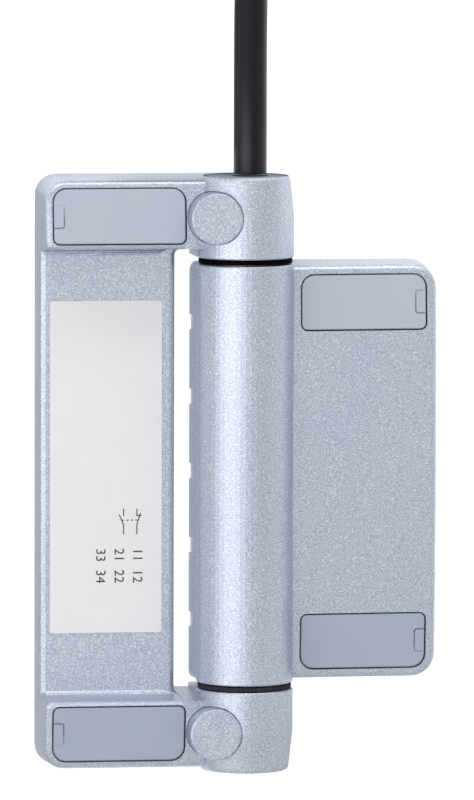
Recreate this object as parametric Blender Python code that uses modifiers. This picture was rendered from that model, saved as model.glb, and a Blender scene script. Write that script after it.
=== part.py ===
"""Safety hinge switch: two die-cast leaves on one hinge axis, with a cam switch inside the barrel.

The hinge lies on its mounting faces, at z = 0. Y runs along the hinge axis towards the cable,
X runs from the switch side to the door side, and Z points out of the front. Lengths are in metres.
Most pieces are modelled round the hinge axis, as (x, y, z) from the middle of the axis.
"""

import math

import bmesh
import bpy
from mathutils import Matrix, Vector

MM = 0.001

# Fits
SEAT_GAP = 0.3 * MM
RUNNING_GAP = 0.4 * MM
CUT_PAST = 1.0 * MM

# Plunger and contacts, from the stem outwards
STEM_RADIUS = 1.2 * MM
COLLAR_STEP = 0.9 * MM
COLLAR_THICKNESS = 0.6 * MM
CONTACT_STRIP = 0.5 * MM
CONTACT_WIDTH = 1.6 * MM
CONTACT_TAIL = 1.1 * MM
CONTACT_TURN = math.radians(60)
RIVET_HEIGHT = 0.3 * MM
RIVET_WIDTH = 1.0 * MM
RIVET_FROM_COLLAR = 1.1 * MM
RIVET_EDGE = 0.25 * MM
BRIDGE_WIDTH = 1.8 * MM
BRIDGE_CLEARANCE = 0.35 * MM
CONTACT_CLEARANCE = 0.6 * MM
OPEN_CONTACT_DROP = 3.6 * MM
TRAVEL = 2.4 * MM
FOOT_THICKNESS = 2.5 * MM
LUG_WIDTH = 1.8 * MM
NOSE_WIDTH = 2.4 * MM
SPRING_SPACE = 9.1 * MM
SPRING_CLEARANCE = 1.2 * MM
SPRING_WIRE = 0.5 * MM
SPRING_TURNS = 5

# Walls round the contacts, from the carrier out to the barrel
CARRIER_WALL = 1.1 * MM
CARRIER_ROOF = 2.5 * MM
INSERT_WALL = 0.9 * MM
INSERT_SHOULDER = 2.0 * MM
INSERT_PAST_FOOT = 1.5 * MM
WIRE_SPACE = 4.25 * MM
BARREL_WALL = 1.9 * MM

# Neck and lower pin, which are locked in the knuckles, and the bushes that turn on them
NECK_STEP = 1.7 * MM
NECK_WALL = 1.5 * MM
NECK_STAND = 1.0 * MM
JOURNAL_STEP = 1.7 * MM
JOURNAL_LENGTH = 8.8 * MM
PIN_CHAMFER = 0.5 * MM
BUSH_LENGTH = 8.0 * MM

# Cam
CAMSHAFT_LENGTH = 9.5 * MM
CAMSHAFT_FLOAT = 0.7 * MM
CAM_SHOULDER = 1.8 * MM
CAM_RING_WIDTH = 3.2 * MM
CAM_OVERRUN = math.radians(20)
CAM_PIN_RADIUS = 1.5 * MM
CAM_PIN_LENGTH = 14.9 * MM
CAM_PIN_SINK = 0.5 * MM

# Hinge axis, barrel and knuckles
BARREL_LENGTH = 88.1 * MM
BARREL_LIFT = 0.6 * MM
KNUCKLE_GAP = 1.4 * MM
KNUCKLE_LIP = 2.05 * MM
KNUCKLE_TAPER = 0.8 * MM
KNUCKLE_ROUND = 1.0 * MM
KNUCKLE_FOOT_FLARE = 0.4 * MM
KNUCKLE_FOOT_CORNER = 4.0 * MM
KNUCKLE_FOOT_SINK = 0.2 * MM
SEAL_RING_SINK = 0.35 * MM
OPEN_ANGLE = math.radians(180)

# Castings
CAST_DRAFT = math.radians(2.7)
EDGE_ROUND = 1.2 * MM
CROWN_RADIUS = 450 * MM
BORE_EDGE = 0.25 * MM
CLOSED_CLEARANCE = 0.6 * MM

# Screw covers and their margins, the pockets under them and the mounting slots
COVER_WIDTH = 11.4 * MM
COVER_OUTER_CORNER = 2.7 * MM
COVER_INNER_CORNER = 1.2 * MM
COVER_EDGE = 0.25 * MM
COVER_SINK = 0.05 * MM
PAD_END_MARGIN = 2.35 * MM
PAD_INNER_MARGIN = 1.2 * MM
PAD_SIDE_MARGIN = 2.5 * MM
COVER_FROM_BOSS = 0.6 * MM
DOOR_END_MARGIN = 2.55 * MM
DOOR_SIDE_MARGIN = 2.8 * MM
COVER_FROM_BARREL = 1.65 * MM
SWITCH_COVER_SEAT = 3.8 * MM
SWITCH_POCKET_DEPTH = 6.0 * MM
DOOR_COVER_SEAT = 5.2 * MM
DOOR_POCKET_DEPTH = 3.9 * MM
LEDGE_WIDTH = 0.9 * MM
MOUNTING_SLOT_WIDTH = 6.6 * MM
MOUNTING_SLOT_LENGTH = 13.0 * MM
PRY_LENGTH = 5.0 * MM
PRY_REACH = 2.3 * MM
PRY_CORNER = 0.6 * MM
PRY_GROOVE = 0.28 * MM
PRY_DEPTH = 0.4 * MM
CLIP_THICKNESS = 1.1 * MM
CLIP_WIDTH = 5.0 * MM
CLIP_LENGTH = 2.6 * MM

# Lock screws in the knuckles, under the front bosses
BOSS_RADIUS = 5.4 * MM
BOSS_EDGE = 0.35 * MM
SCREW_OFFSET = 1.0 * MM
SCREW_RADIUS = 1.75 * MM
SCREW_HEAD_RADIUS = 3.2 * MM
SCREW_HEAD_HEIGHT = 2.4 * MM
SCREW_SOCKET = 1.6 * MM
BOSS_ROOF = 3.7 * MM

# Switch side leaf
SWITCH_REACH = 43.3 * MM
SWITCH_CORNER = 4.4 * MM
PAD_HEIGHT = 15.8 * MM
ARM_WALL_LEAN = 1.2 * MM
LEAF_SET_BACK = 0.3 * MM
SLOT_WIDTH = 3.35 * MM
SLOT_CORNER = 1.3 * MM

# Door side leaf
DOOR_REACH = 41.05 * MM
DOOR_LEAF_THICKNESS = 13.6 * MM
DOOR_LEAF_SLOPE = math.radians(2.5)
DOOR_CORNER = 5.0 * MM
HEEL_STEP = 0.9 * MM
HEEL_DEPTH = 6.0 * MM
HEEL_CORNER = 1.9 * MM
HEEL_LIFT = 0.4 * MM
NOTCH_COUNT = 5
NOTCH_FROM_END = 12.65 * MM
NOTCH_WIDTH = 3.3 * MM
NOTCH_DEPTH = 0.45 * MM

# Cored back of the leaves
CORE_RIB = 2.4 * MM
CORE_CORNER = 1.5 * MM
SWITCH_CORE_COUNT = 4
SWITCH_CORE_SIDE_WALL = 4.15 * MM
SWITCH_CORE_END_WALL = 7.9 * MM
SWITCH_CORE_ROOF = 3.0 * MM
DOOR_CORE_COUNT = 2
DOOR_CORE_SIDE_WALL = 2.2 * MM
DOOR_CORE_END_WALL = 4.9 * MM
DOOR_CORE_ROOF = 5.4 * MM

# End plates of the knuckles, and the seal behind the upper one
END_PLATE_RIM = 0.7 * MM
END_PLATE_THICKNESS = 1.0 * MM
END_PLATE_SINK = 0.45 * MM
END_PLATE_SEAT = 1.1 * MM
CHAMBER_DEPTH = 4.8 * MM
SEAL_THICKNESS = 2.3 * MM

# Label
LABEL_THICKNESS = 0.2 * MM
LABEL_GAP = 0.1 * MM
LABEL_CORNER = 0.8 * MM
LABEL_SIDE_MARGIN = 2.2 * MM
LABEL_SLOT_MARGIN = 2.6 * MM
LABEL_TOP_MARGIN = 11.15 * MM
LABEL_LOW_MARGIN = 12.55 * MM

# Cable
CABLE_DIAMETER = 7.0 * MM
CABLE_X = 1.3 * MM
CABLE_DROP = 2.8 * MM
CABLE_IN_SEAL = 2.4 * MM
CORE_BUNDLE_DIAMETER = 3.4 * MM
CORE_BUNDLE_STAND = 1.4 * MM
CABLE_DRIFT = 0.5 * MM
CABLE_FREE_LENGTH = 3.25 * MM
CABLE_STRAIGHT_LENGTH = 36.25 * MM
CABLE_BEND_RADIUS = 30.0 * MM
CABLE_LIE_HEIGHT = 3.8 * MM
CABLE_BESIDE_COIL = math.radians(16)
COIL_CENTRE_X = -18.0 * MM
COIL_MEAN_RADIUS = 38.5 * MM
COIL_COLUMNS = 3
COIL_LAYERS = 4
TIE_THICKNESS = 0.9 * MM
TIE_WIDTH = 5.0 * MM
CORE_END_LENGTH = 32.0 * MM
CORE_END_WIDTH = 7.0 * MM
CORE_END_THICKNESS = 1.8 * MM

# Round pieces' facets
FINE = 56
MEDIUM = 36
COARSE = 28
SMALL = 16

# Radii that follow, from the stem out to the barrel
STEM_GUIDE_RADIUS = STEM_RADIUS + SEAT_GAP
COLLAR_RADIUS = STEM_RADIUS + COLLAR_STEP
SPRING_RADIUS = COLLAR_RADIUS + SPRING_CLEARANCE
RIVET_START = COLLAR_RADIUS + RIVET_FROM_COLLAR
RIVET_END = RIVET_START + RIVET_WIDTH
BRIDGE_REACH = RIVET_END + RIVET_EDGE
STRIP_RADIUS = BRIDGE_REACH + BRIDGE_CLEARANCE + CONTACT_STRIP
CONTACT_SPACE_RADIUS = STRIP_RADIUS + SEAT_GAP
CARRIER_RADIUS = CONTACT_SPACE_RADIUS + CARRIER_WALL
INSERT_BORE_RADIUS = CARRIER_RADIUS + SEAT_GAP
INSERT_RADIUS = INSERT_BORE_RADIUS + INSERT_WALL
BARREL_BORE_RADIUS = INSERT_RADIUS + RUNNING_GAP
BARREL_RADIUS = BARREL_BORE_RADIUS + BARREL_WALL
BUSH_RADIUS = BARREL_BORE_RADIUS - SEAT_GAP
CAM_OUTER_RADIUS = BUSH_RADIUS - CAM_SHOULDER
CAM_INNER_RADIUS = CAM_OUTER_RADIUS - CAM_RING_WIDTH
NECK_RADIUS = INSERT_RADIUS - NECK_STEP
NECK_BORE_RADIUS = NECK_RADIUS - NECK_WALL
NECK_SEAT_RADIUS = NECK_RADIUS + SEAT_GAP
JOURNAL_RADIUS = NECK_RADIUS - JOURNAL_STEP
SEAL_RING_RADIUS = BARREL_RADIUS - SEAL_RING_SINK
KNUCKLE_END_RADIUS = BARREL_RADIUS - KNUCKLE_TAPER
END_PLATE_RADIUS = KNUCKLE_END_RADIUS - END_PLATE_RIM
CHAMBER_RADIUS = END_PLATE_RADIUS - END_PLATE_SEAT

# Heights over the mounting plane, and from the axis
AXIS_HEIGHT = BARREL_RADIUS + BARREL_LIFT
BACK = -AXIS_HEIGHT
RECESS_HEIGHT = 2 * AXIS_HEIGHT - DOOR_LEAF_THICKNESS - CLOSED_CLEARANCE
SWITCH_LEDGE_HEIGHT = PAD_HEIGHT - SWITCH_COVER_SEAT
SWITCH_POCKET_FLOOR = SWITCH_LEDGE_HEIGHT - SWITCH_POCKET_DEPTH
DOOR_LEDGE_HEIGHT = DOOR_LEAF_THICKNESS - DOOR_COVER_SEAT
DOOR_POCKET_FLOOR = DOOR_LEDGE_HEIGHT - DOOR_POCKET_DEPTH
BOSS_TOP = BARREL_RADIUS
SCREW_TIP = BOSS_TOP - BOSS_ROOF
CABLE_Z = -CABLE_DROP

# Places along the axis, from the ends of the barrel outwards
PAD_LENGTH = PAD_END_MARGIN + COVER_WIDTH + PAD_INNER_MARGIN
BARREL_END = BARREL_LENGTH / 2
KNUCKLE_START = BARREL_END + KNUCKLE_GAP
PAD_START = KNUCKLE_START + KNUCKLE_LIP
SWITCH_LEAF_END = PAD_START + PAD_LENGTH
KNUCKLE_END = SWITCH_LEAF_END + LEAF_SET_BACK
KNUCKLE_MIDDLE = (KNUCKLE_START + KNUCKLE_END) / 2
PLATE_POCKET_FLOOR = KNUCKLE_END - END_PLATE_SINK - END_PLATE_THICKNESS - SEAT_GAP
CHAMBER_FLOOR = PLATE_POCKET_FLOOR - CHAMBER_DEPTH
NECK_TOP = CHAMBER_FLOOR + NECK_STAND
SWITCH_COVER_Y = SWITCH_LEAF_END - PAD_END_MARGIN - COVER_WIDTH / 2
DOOR_COVER_Y = BARREL_END - DOOR_END_MARGIN - COVER_WIDTH / 2
SWITCH_CORE_LENGTH = (
    2 * (PAD_START - SWITCH_CORE_END_WALL) - (SWITCH_CORE_COUNT - 1) * CORE_RIB
) / SWITCH_CORE_COUNT
DOOR_CORE_LENGTH = (
    2 * (DOOR_COVER_Y - COVER_WIDTH / 2 - DOOR_CORE_END_WALL) - (DOOR_CORE_COUNT - 1) * CORE_RIB
) / DOOR_CORE_COUNT
NOTCH_PITCH = (BARREL_LENGTH - 2 * NOTCH_FROM_END) / (NOTCH_COUNT - 1)

# Places along the axis, from the insert's shoulder down to the cam
SHOULDER = BARREL_END - BUSH_LENGTH - SEAT_GAP
CARRIER_TOP = SHOULDER - INSERT_SHOULDER - WIRE_SPACE
BRIDGE_STACK = 2 * SEAT_GAP + RIVET_HEIGHT + CONTACT_STRIP + COLLAR_THICKNESS
FIRST_CONTACT_LEVEL = CARRIER_TOP - CARRIER_ROOF - CONTACT_CLEARANCE - TRAVEL - BRIDGE_STACK
CONTACT_STEP = TRAVEL + BRIDGE_STACK + RIVET_HEIGHT + CONTACT_STRIP + CONTACT_CLEARANCE
CLOSED_CONTACT_LEVELS = (FIRST_CONTACT_LEVEL, FIRST_CONTACT_LEVEL - CONTACT_STEP)
OPEN_CONTACT_LEVEL = CLOSED_CONTACT_LEVELS[1] - OPEN_CONTACT_DROP
CARRIER_BOTTOM = OPEN_CONTACT_LEVEL - TRAVEL - BRIDGE_STACK - CONTACT_CLEARANCE - CARRIER_ROOF
FOOT_TOP = CARRIER_BOTTOM - SPRING_SPACE
FOOT_LOW = FOOT_TOP - FOOT_THICKNESS
INSERT_END = FOOT_LOW - INSERT_PAST_FOOT
CAMSHAFT_LOW = JOURNAL_LENGTH + CAMSHAFT_FLOAT - BARREL_END - SEAT_GAP
CAMSHAFT_TOP = CAMSHAFT_LOW + CAMSHAFT_LENGTH
CAM_PIN_Y = (CAMSHAFT_LOW + CAMSHAFT_TOP) / 2
CAM_PIN_LOW = BACK + HEEL_LIFT + CAM_PIN_SINK
NOSE_TIP = CAMSHAFT_TOP + TRAVEL + SEAT_GAP
LEAD = TRAVEL / OPEN_ANGLE

# Places across the hinge
HINGE_X = (SWITCH_REACH - DOOR_REACH) / 2
BOSS_X = -(NECK_RADIUS + SCREW_OFFSET)
HEEL_REACH = BARREL_RADIUS + HEEL_STEP
SLOT_EDGE = -(HEEL_REACH + SLOT_WIDTH)
SWITCH_COVER_END = BOSS_X - BOSS_RADIUS - COVER_FROM_BOSS
SWITCH_COVER_LENGTH = SWITCH_REACH - PAD_SIDE_MARGIN + SWITCH_COVER_END
SWITCH_COVER_X = SWITCH_COVER_END - SWITCH_COVER_LENGTH / 2
DOOR_COVER_END = BARREL_RADIUS + COVER_FROM_BARREL
DOOR_COVER_LENGTH = DOOR_REACH - DOOR_SIDE_MARGIN - DOOR_COVER_END
DOOR_COVER_X = DOOR_COVER_END + DOOR_COVER_LENGTH / 2

# Cable and coil
CABLE_INNER_END = PLATE_POCKET_FLOOR - CABLE_IN_SEAL
CORE_BUNDLE_END = CARRIER_TOP + CONTACT_TAIL + CORE_BUNDLE_STAND
CABLE_FALL_START = KNUCKLE_END + CABLE_FREE_LENGTH
CABLE_BEND_START = KNUCKLE_END + CABLE_STRAIGHT_LENGTH
COIL_SPAN = COIL_COLUMNS * CABLE_DIAMETER
COIL_HEIGHT = COIL_LAYERS * CABLE_DIAMETER
COIL_LIFT = TIE_THICKNESS + SEAT_GAP
COIL_OUTER_RADIUS = COIL_MEAN_RADIUS + COIL_SPAN / 2
COIL_SIDE_RADIUS = COIL_OUTER_RADIUS + SEAT_GAP + CABLE_DIAMETER / 2
CABLE_BEND_X = CABLE_X + CABLE_DRIFT + CABLE_BEND_RADIUS
COIL_CENTRE_Y = CABLE_BEND_START + math.sqrt(
    (CABLE_BEND_RADIUS + COIL_SIDE_RADIUS) ** 2 - (CABLE_BEND_X - COIL_CENTRE_X) ** 2
)

# Where each drawing plane lies: its two axes, and the axis that it is extruded along
PLANES = {
    "XY": Matrix.Identity(4),
    "YZ": Matrix(((0, 0, 1, 0), (1, 0, 0, 0), (0, 1, 0, 0), (0, 0, 0, 1))),
    "XZ": Matrix(((1, 0, 0, 0), (0, 0, -1, 0), (0, 1, 0, 0), (0, 0, 0, 1))),
}
ALONG_AXIS = Matrix.Rotation(math.radians(-90), 4, "X")


def clear_scene():
    for thing in list(bpy.data.objects):
        bpy.data.objects.remove(thing, do_unlink=True)


def new_collection(name):
    made = bpy.data.collections.new(name)
    bpy.context.scene.collection.children.link(made)
    return made


def new_empty(name, location):
    holder = bpy.data.objects.new(name, None)
    holder.empty_display_size = 10 * MM
    holder.location = location
    PARTS.objects.link(holder)
    return holder


def new_material(name, colour, roughness, metallic):
    made = bpy.data.materials.new(name)
    made.use_nodes = True
    shader = made.node_tree.nodes["Principled BSDF"]
    shader.inputs["Base Color"].default_value = (*colour, 1)
    shader.inputs["Roughness"].default_value = roughness
    shader.inputs["Metallic"].default_value = metallic
    made.diffuse_color = (*colour, 1)
    return made


def as_mesh(thing, flat_faces_joined=False):
    """The object's evaluated shape as a mesh in world space, with its doubled points merged."""
    bpy.context.view_layer.update()
    graph = bpy.context.evaluated_depsgraph_get()
    mesh = bpy.data.meshes.new_from_object(thing.evaluated_get(graph), depsgraph=graph)
    mesh.transform(thing.matrix_world)
    bm = bmesh.new()
    bm.from_mesh(mesh)
    bmesh.ops.remove_doubles(bm, verts=bm.verts, dist=0.002 * MM)
    if flat_faces_joined:
        bmesh.ops.dissolve_limit(bm, angle_limit=math.radians(0.05), verts=[], edges=bm.edges)
    bmesh.ops.recalc_face_normals(bm, faces=bm.faces)
    bm.to_mesh(mesh)
    bm.free()
    return mesh


def from_source(source):
    """Turns a curve, or an object with modifiers, into a plain mesh object of the same name."""
    mesh = as_mesh(source, flat_faces_joined=True)
    name = source.name
    bpy.data.objects.remove(source, do_unlink=True)
    made = bpy.data.objects.new(name, mesh)
    PARTS.objects.link(made)
    return made


def arc(centre, radius, start, end, steps):
    """Points on an arc, both ends included; angles in degrees."""
    points = []
    for step in range(steps + 1):
        angle = math.radians(start + (end - start) * step / steps)
        points.append((centre[0] + radius * math.cos(angle), centre[1] + radius * math.sin(angle)))
    return points


def rounded_outline(low, high, corners, steps=5):
    """A rectangle with its own radius at each corner: right top, left top, left bottom, right bottom."""
    (x0, y0), (x1, y1) = low, high
    places = (
        (x1, y1, -1, -1, 0),
        (x0, y1, 1, -1, 90),
        (x0, y0, 1, 1, 180),
        (x1, y0, -1, 1, 270),
    )
    points = []
    for (x, y, to_x, to_y, start), radius in zip(places, corners):
        if radius:
            centre = (x + to_x * radius, y + to_y * radius)
            points += arc(centre, radius, start, start + 90, steps)
        else:
            points.append((x, y))
    return points


def extruded(name, points, low, high, plane="XY"):
    """A flat outline in the plane, extruded along the third axis from low to high."""
    curve = bpy.data.curves.new(name, "CURVE")
    curve.dimensions = "2D"
    curve.fill_mode = "BOTH"
    curve.extrude = (high - low) / 2
    spline = curve.splines.new("POLY")
    spline.points.add(len(points) - 1)
    for point, (u, v) in zip(spline.points, points):
        point.co = (u, v, 0, 1)
    spline.use_cyclic_u = True
    drawn = bpy.data.objects.new(name, curve)
    middle = (low + high) / 2
    drawn.matrix_world = PLANES[plane] @ Matrix.Translation((0, 0, -middle if plane == "XZ" else middle))
    PARTS.objects.link(drawn)
    return from_source(drawn)


def turned(name, profile, facets=COARSE, closed=False):
    """A profile of (radius, height along the hinge axis) points, turned round the axis."""
    mesh = bpy.data.meshes.new(name)
    count = len(profile)
    edges = [(i, (i + 1) % count) for i in range(count if closed else count - 1)]
    mesh.from_pydata([(r, 0, h) for r, h in profile], edges, [])
    drawn = bpy.data.objects.new(name, mesh)
    PARTS.objects.link(drawn)
    screw = drawn.modifiers.new("turn", "SCREW")
    screw.steps = facets
    screw.render_steps = facets
    screw.use_merge_vertices = True
    screw.merge_threshold = 0.001 * MM
    drawn.matrix_world = ALONG_AXIS
    return from_source(drawn)


def rod(name, radius, low, high, facets=COARSE, edge=0.0):
    """A solid round bar along the hinge axis, with its ends broken by edge."""
    profile = [(0, high), (radius - edge, high)]
    if edge:
        profile += [(radius, high - edge), (radius, low + edge)]
    else:
        profile.append((radius, low))
    profile += [(radius - edge, low), (0, low)] if edge else [(0, low)]
    return turned(name, profile, facets)


def upright_rod(name, radius, x, y, low, high, facets=COARSE, edge=0.0):
    """A solid round bar that stands along Z at (x, y)."""
    made = rod(name, radius, low, high, facets, edge)
    made.data.transform(Matrix.Translation((x, y, 0)) @ ALONG_AXIS.inverted())
    return made


def box(name, low, high):
    bm = bmesh.new()
    bmesh.ops.create_cube(bm, size=1)
    size = [b - a for a, b in zip(low, high)]
    middle = [(a + b) / 2 for a, b in zip(low, high)]
    bmesh.ops.scale(bm, vec=size, verts=bm.verts)
    bmesh.ops.translate(bm, vec=middle, verts=bm.verts)
    mesh = bpy.data.meshes.new(name)
    bm.to_mesh(mesh)
    bm.free()
    made = bpy.data.objects.new(name, mesh)
    PARTS.objects.link(made)
    return made


def combine(target, tool, operation):
    """Applies a Boolean with the tool, and keeps the tool with the cutters."""
    boolean = target.modifiers.new(tool.name, "BOOLEAN")
    boolean.operation = operation
    boolean.solver = "EXACT"
    boolean.object = tool
    mesh = as_mesh(target)
    target.modifiers.clear()
    target.data = mesh
    PARTS.objects.unlink(tool)
    CUTTERS.objects.link(tool)
    tool.hide_render = True
    tool.display_type = "WIRE"


def cut(target, *tools):
    for tool in tools:
        combine(target, tool, "DIFFERENCE")


def join(target, *tools):
    for tool in tools:
        combine(target, tool, "UNION")


def keep_common(target, tool):
    combine(target, tool, "INTERSECT")


def round_edges(target, width, chosen, segments=4, sharper_than=30):
    """Rounds the edges that are sharp and that chosen() picks by their middle point."""
    bm = bmesh.new()
    bm.from_mesh(target.data)
    edges = []
    for edge in bm.edges:
        middle = (edge.verts[0].co + edge.verts[1].co) / 2
        if edge.is_manifold and edge.calc_face_angle() > math.radians(sharper_than) and chosen(middle):
            edges.append(edge)
    bmesh.ops.bevel(
        bm,
        geom=edges,
        offset=width,
        offset_type="OFFSET",
        segments=segments,
        profile=0.5,
        affect="EDGES",
        clamp_overlap=False,
        material=-1,
    )
    bmesh.ops.remove_doubles(bm, verts=bm.verts, dist=0.002 * MM)
    bm.to_mesh(target.data)
    bm.free()


def move_points(target, mover):
    """Passes every point of the mesh through mover(), such as for a draft or a taper."""
    for vertex in target.data.vertices:
        vertex.co = mover(vertex.co)


def finished(piece, material, holder):
    """Gives a piece its material and its shading, and hangs it on its holder."""
    piece.data.materials.clear()
    piece.data.materials.append(material)
    piece.data.shade_smooth()
    piece.data.set_sharp_from_angle(angle=math.radians(35))
    piece.parent = holder
    return piece


def drafted(target, low, high, centre_x):
    """Leans the side walls in by the casting draft, from the low plane to the high one."""
    inset = (high - low) * math.tan(CAST_DRAFT)
    half_x = max(abs(v.co.x - centre_x) for v in target.data.vertices)
    half_y = max(abs(v.co.y) for v in target.data.vertices)

    def lean(point):
        if point.z < (low + high) / 2:
            return point
        x = centre_x + (point.x - centre_x) * (1 - inset / half_x)
        return Vector((x, point.y * (1 - inset / half_y), point.z))

    move_points(target, lean)


def crown(height, y):
    """Height of a crowned front face, over the mounting plane, at a distance from the middle."""
    return BACK + height - y * y / (2 * CROWN_RADIUS)


def pad_crown(y, sink=0.0):
    """Height of the pads' front face; it is PAD_HEIGHT where a pad starts."""
    return crown(PAD_HEIGHT + PAD_START**2 / (2 * CROWN_RADIUS), y) - sink


def pad_front_tool(sink=0.0):
    """All that lies in front of the pads and of the recess between them."""
    reach = SWITCH_LEAF_END + CUT_PAST
    foot = PAD_START - ARM_WALL_LEAN * (PAD_HEIGHT - RECESS_HEIGHT) / PAD_HEIGHT
    places = [PAD_START + (reach - PAD_START) * i / 4 for i in range(5)]
    points = [(foot, BACK + RECESS_HEIGHT), *((y, pad_crown(y, sink)) for y in places)]
    points.append((reach, 2 * AXIS_HEIGHT))
    points += [(-y, z) for y, z in reversed(points)]
    return extruded("pad_front_tool", points, -SWITCH_REACH - CUT_PAST, CUT_PAST, "YZ")


def door_front_tool(sink=0.0):
    """All that lies in front of the door leaf, crowned along Y and sloping to the free edge."""
    reach = BARREL_END + CUT_PAST
    places = [reach * (i / 8 - 1) for i in range(17)]
    points = [(y, crown(DOOR_LEAF_THICKNESS, y) - sink) for y in places]
    points += [(reach, 2 * AXIS_HEIGHT), (-reach, 2 * AXIS_HEIGHT)]
    tool = extruded("door_front_tool", points, -BARREL_RADIUS, 2 * DOOR_REACH, "YZ")
    pivot = Vector((BARREL_RADIUS, 0, BACK + DOOR_LEAF_THICKNESS))
    slope = Matrix.Rotation(DOOR_LEAF_SLOPE, 4, "Y")
    tool.data.transform(Matrix.Translation(pivot) @ slope @ Matrix.Translation(-pivot))
    return tool


def cover_outline(x, y, length, width, side, grow=0.0):
    """A cover's outline; its two corners towards the end of the leaf are the wide ones."""
    low = (x - length / 2 - grow, y - width / 2 - grow)
    high = (x + length / 2 + grow, y + width / 2 + grow)
    outer = max(COVER_OUTER_CORNER + grow, 0.2 * MM)
    inner = max(COVER_INNER_CORNER + grow, 0.2 * MM)
    corners = (outer, outer, inner, inner) if side > 0 else (inner, inner, outer, outer)
    return rounded_outline(low, high, corners)


def cover_pocket_tools(x, y, length, ledge, floor):
    """The seat of a cover, the deep pocket under it and the mounting slot, one set for each end."""
    tools = []
    for side in (1, -1):
        middle = side * y
        seat = cover_outline(x, middle, length, COVER_WIDTH, side, SEAT_GAP)
        deep = cover_outline(x, middle, length, COVER_WIDTH, side, SEAT_GAP - LEDGE_WIDTH)
        half = MOUNTING_SLOT_LENGTH / 2
        radius = MOUNTING_SLOT_WIDTH / 2
        slot = rounded_outline((x - half, middle - radius), (x + half, middle + radius), [radius] * 4)
        top = AXIS_HEIGHT
        tools.append(extruded("cover_seat_tool", seat, BACK + ledge, top))
        tools.append(extruded("screw_pocket_tool", deep, BACK + floor, top))
        tools.append(extruded("mounting_slot_tool", slot, BACK - CUT_PAST, top))
    return tools


def core_tools(x, width, length, depth, count):
    """The row of cored pockets in a leaf's back, with ribs between them."""
    pitch = length + CORE_RIB
    tools = []
    for index in range(count):
        middle = (index - (count - 1) / 2) * pitch
        low = (x - width / 2, middle - length / 2)
        high = (x + width / 2, middle + length / 2)
        outline = rounded_outline(low, high, [CORE_CORNER] * 4, 3)
        tools.append(extruded("core_tool", outline, BACK - CUT_PAST, BACK + depth))
    return tools


def knuckle_round():
    """The round of a knuckle; its outer half slims to its free end."""
    centre = (KNUCKLE_END_RADIUS - KNUCKLE_ROUND, KNUCKLE_END - KNUCKLE_ROUND)
    profile = [(0, KNUCKLE_END), *arc(centre, KNUCKLE_ROUND, 90, 0, 5), (BARREL_RADIUS, KNUCKLE_MIDDLE)]
    profile += [(BARREL_RADIUS, KNUCKLE_START + BORE_EDGE), (BARREL_RADIUS - BORE_EDGE, KNUCKLE_START)]
    return turned("knuckle_round", [*profile, (0, KNUCKLE_START)], FINE)


def knuckle_foot():
    """The foot under the round, down to the mounting plane; it slims with the round."""
    wide = BARREL_RADIUS + KNUCKLE_FOOT_FLARE
    end = SWITCH_LEAF_END - KNUCKLE_FOOT_SINK
    corner = (wide - KNUCKLE_FOOT_CORNER, end - KNUCKLE_FOOT_CORNER)
    outline = [(-wide, KNUCKLE_START), (wide, KNUCKLE_START)]
    outline += [*arc(corner, KNUCKLE_FOOT_CORNER, 0, 90, 6), (-wide, end)]
    foot = extruded("knuckle_foot", outline, BACK, 0)

    def fit_round(point):
        x, y = point.x, point.y
        if point.z > BACK / 2:
            x *= (BARREL_RADIUS - KNUCKLE_FOOT_SINK) / wide
            y -= AXIS_HEIGHT * math.tan(CAST_DRAFT) if y > KNUCKLE_MIDDLE else 0
        past_middle = max(y - KNUCKLE_MIDDLE, 0) / (KNUCKLE_END - KNUCKLE_MIDDLE)
        return Vector((x * (1 - past_middle * KNUCKLE_TAPER / BARREL_RADIUS), y, point.z))

    move_points(foot, fit_round)
    return foot


def flipped(piece):
    """Turns a piece over to the other end of the hinge."""
    piece.data.transform(Matrix.Scale(-1, 4, (0, 1, 0)))
    piece.data.flip_normals()
    return piece


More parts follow.
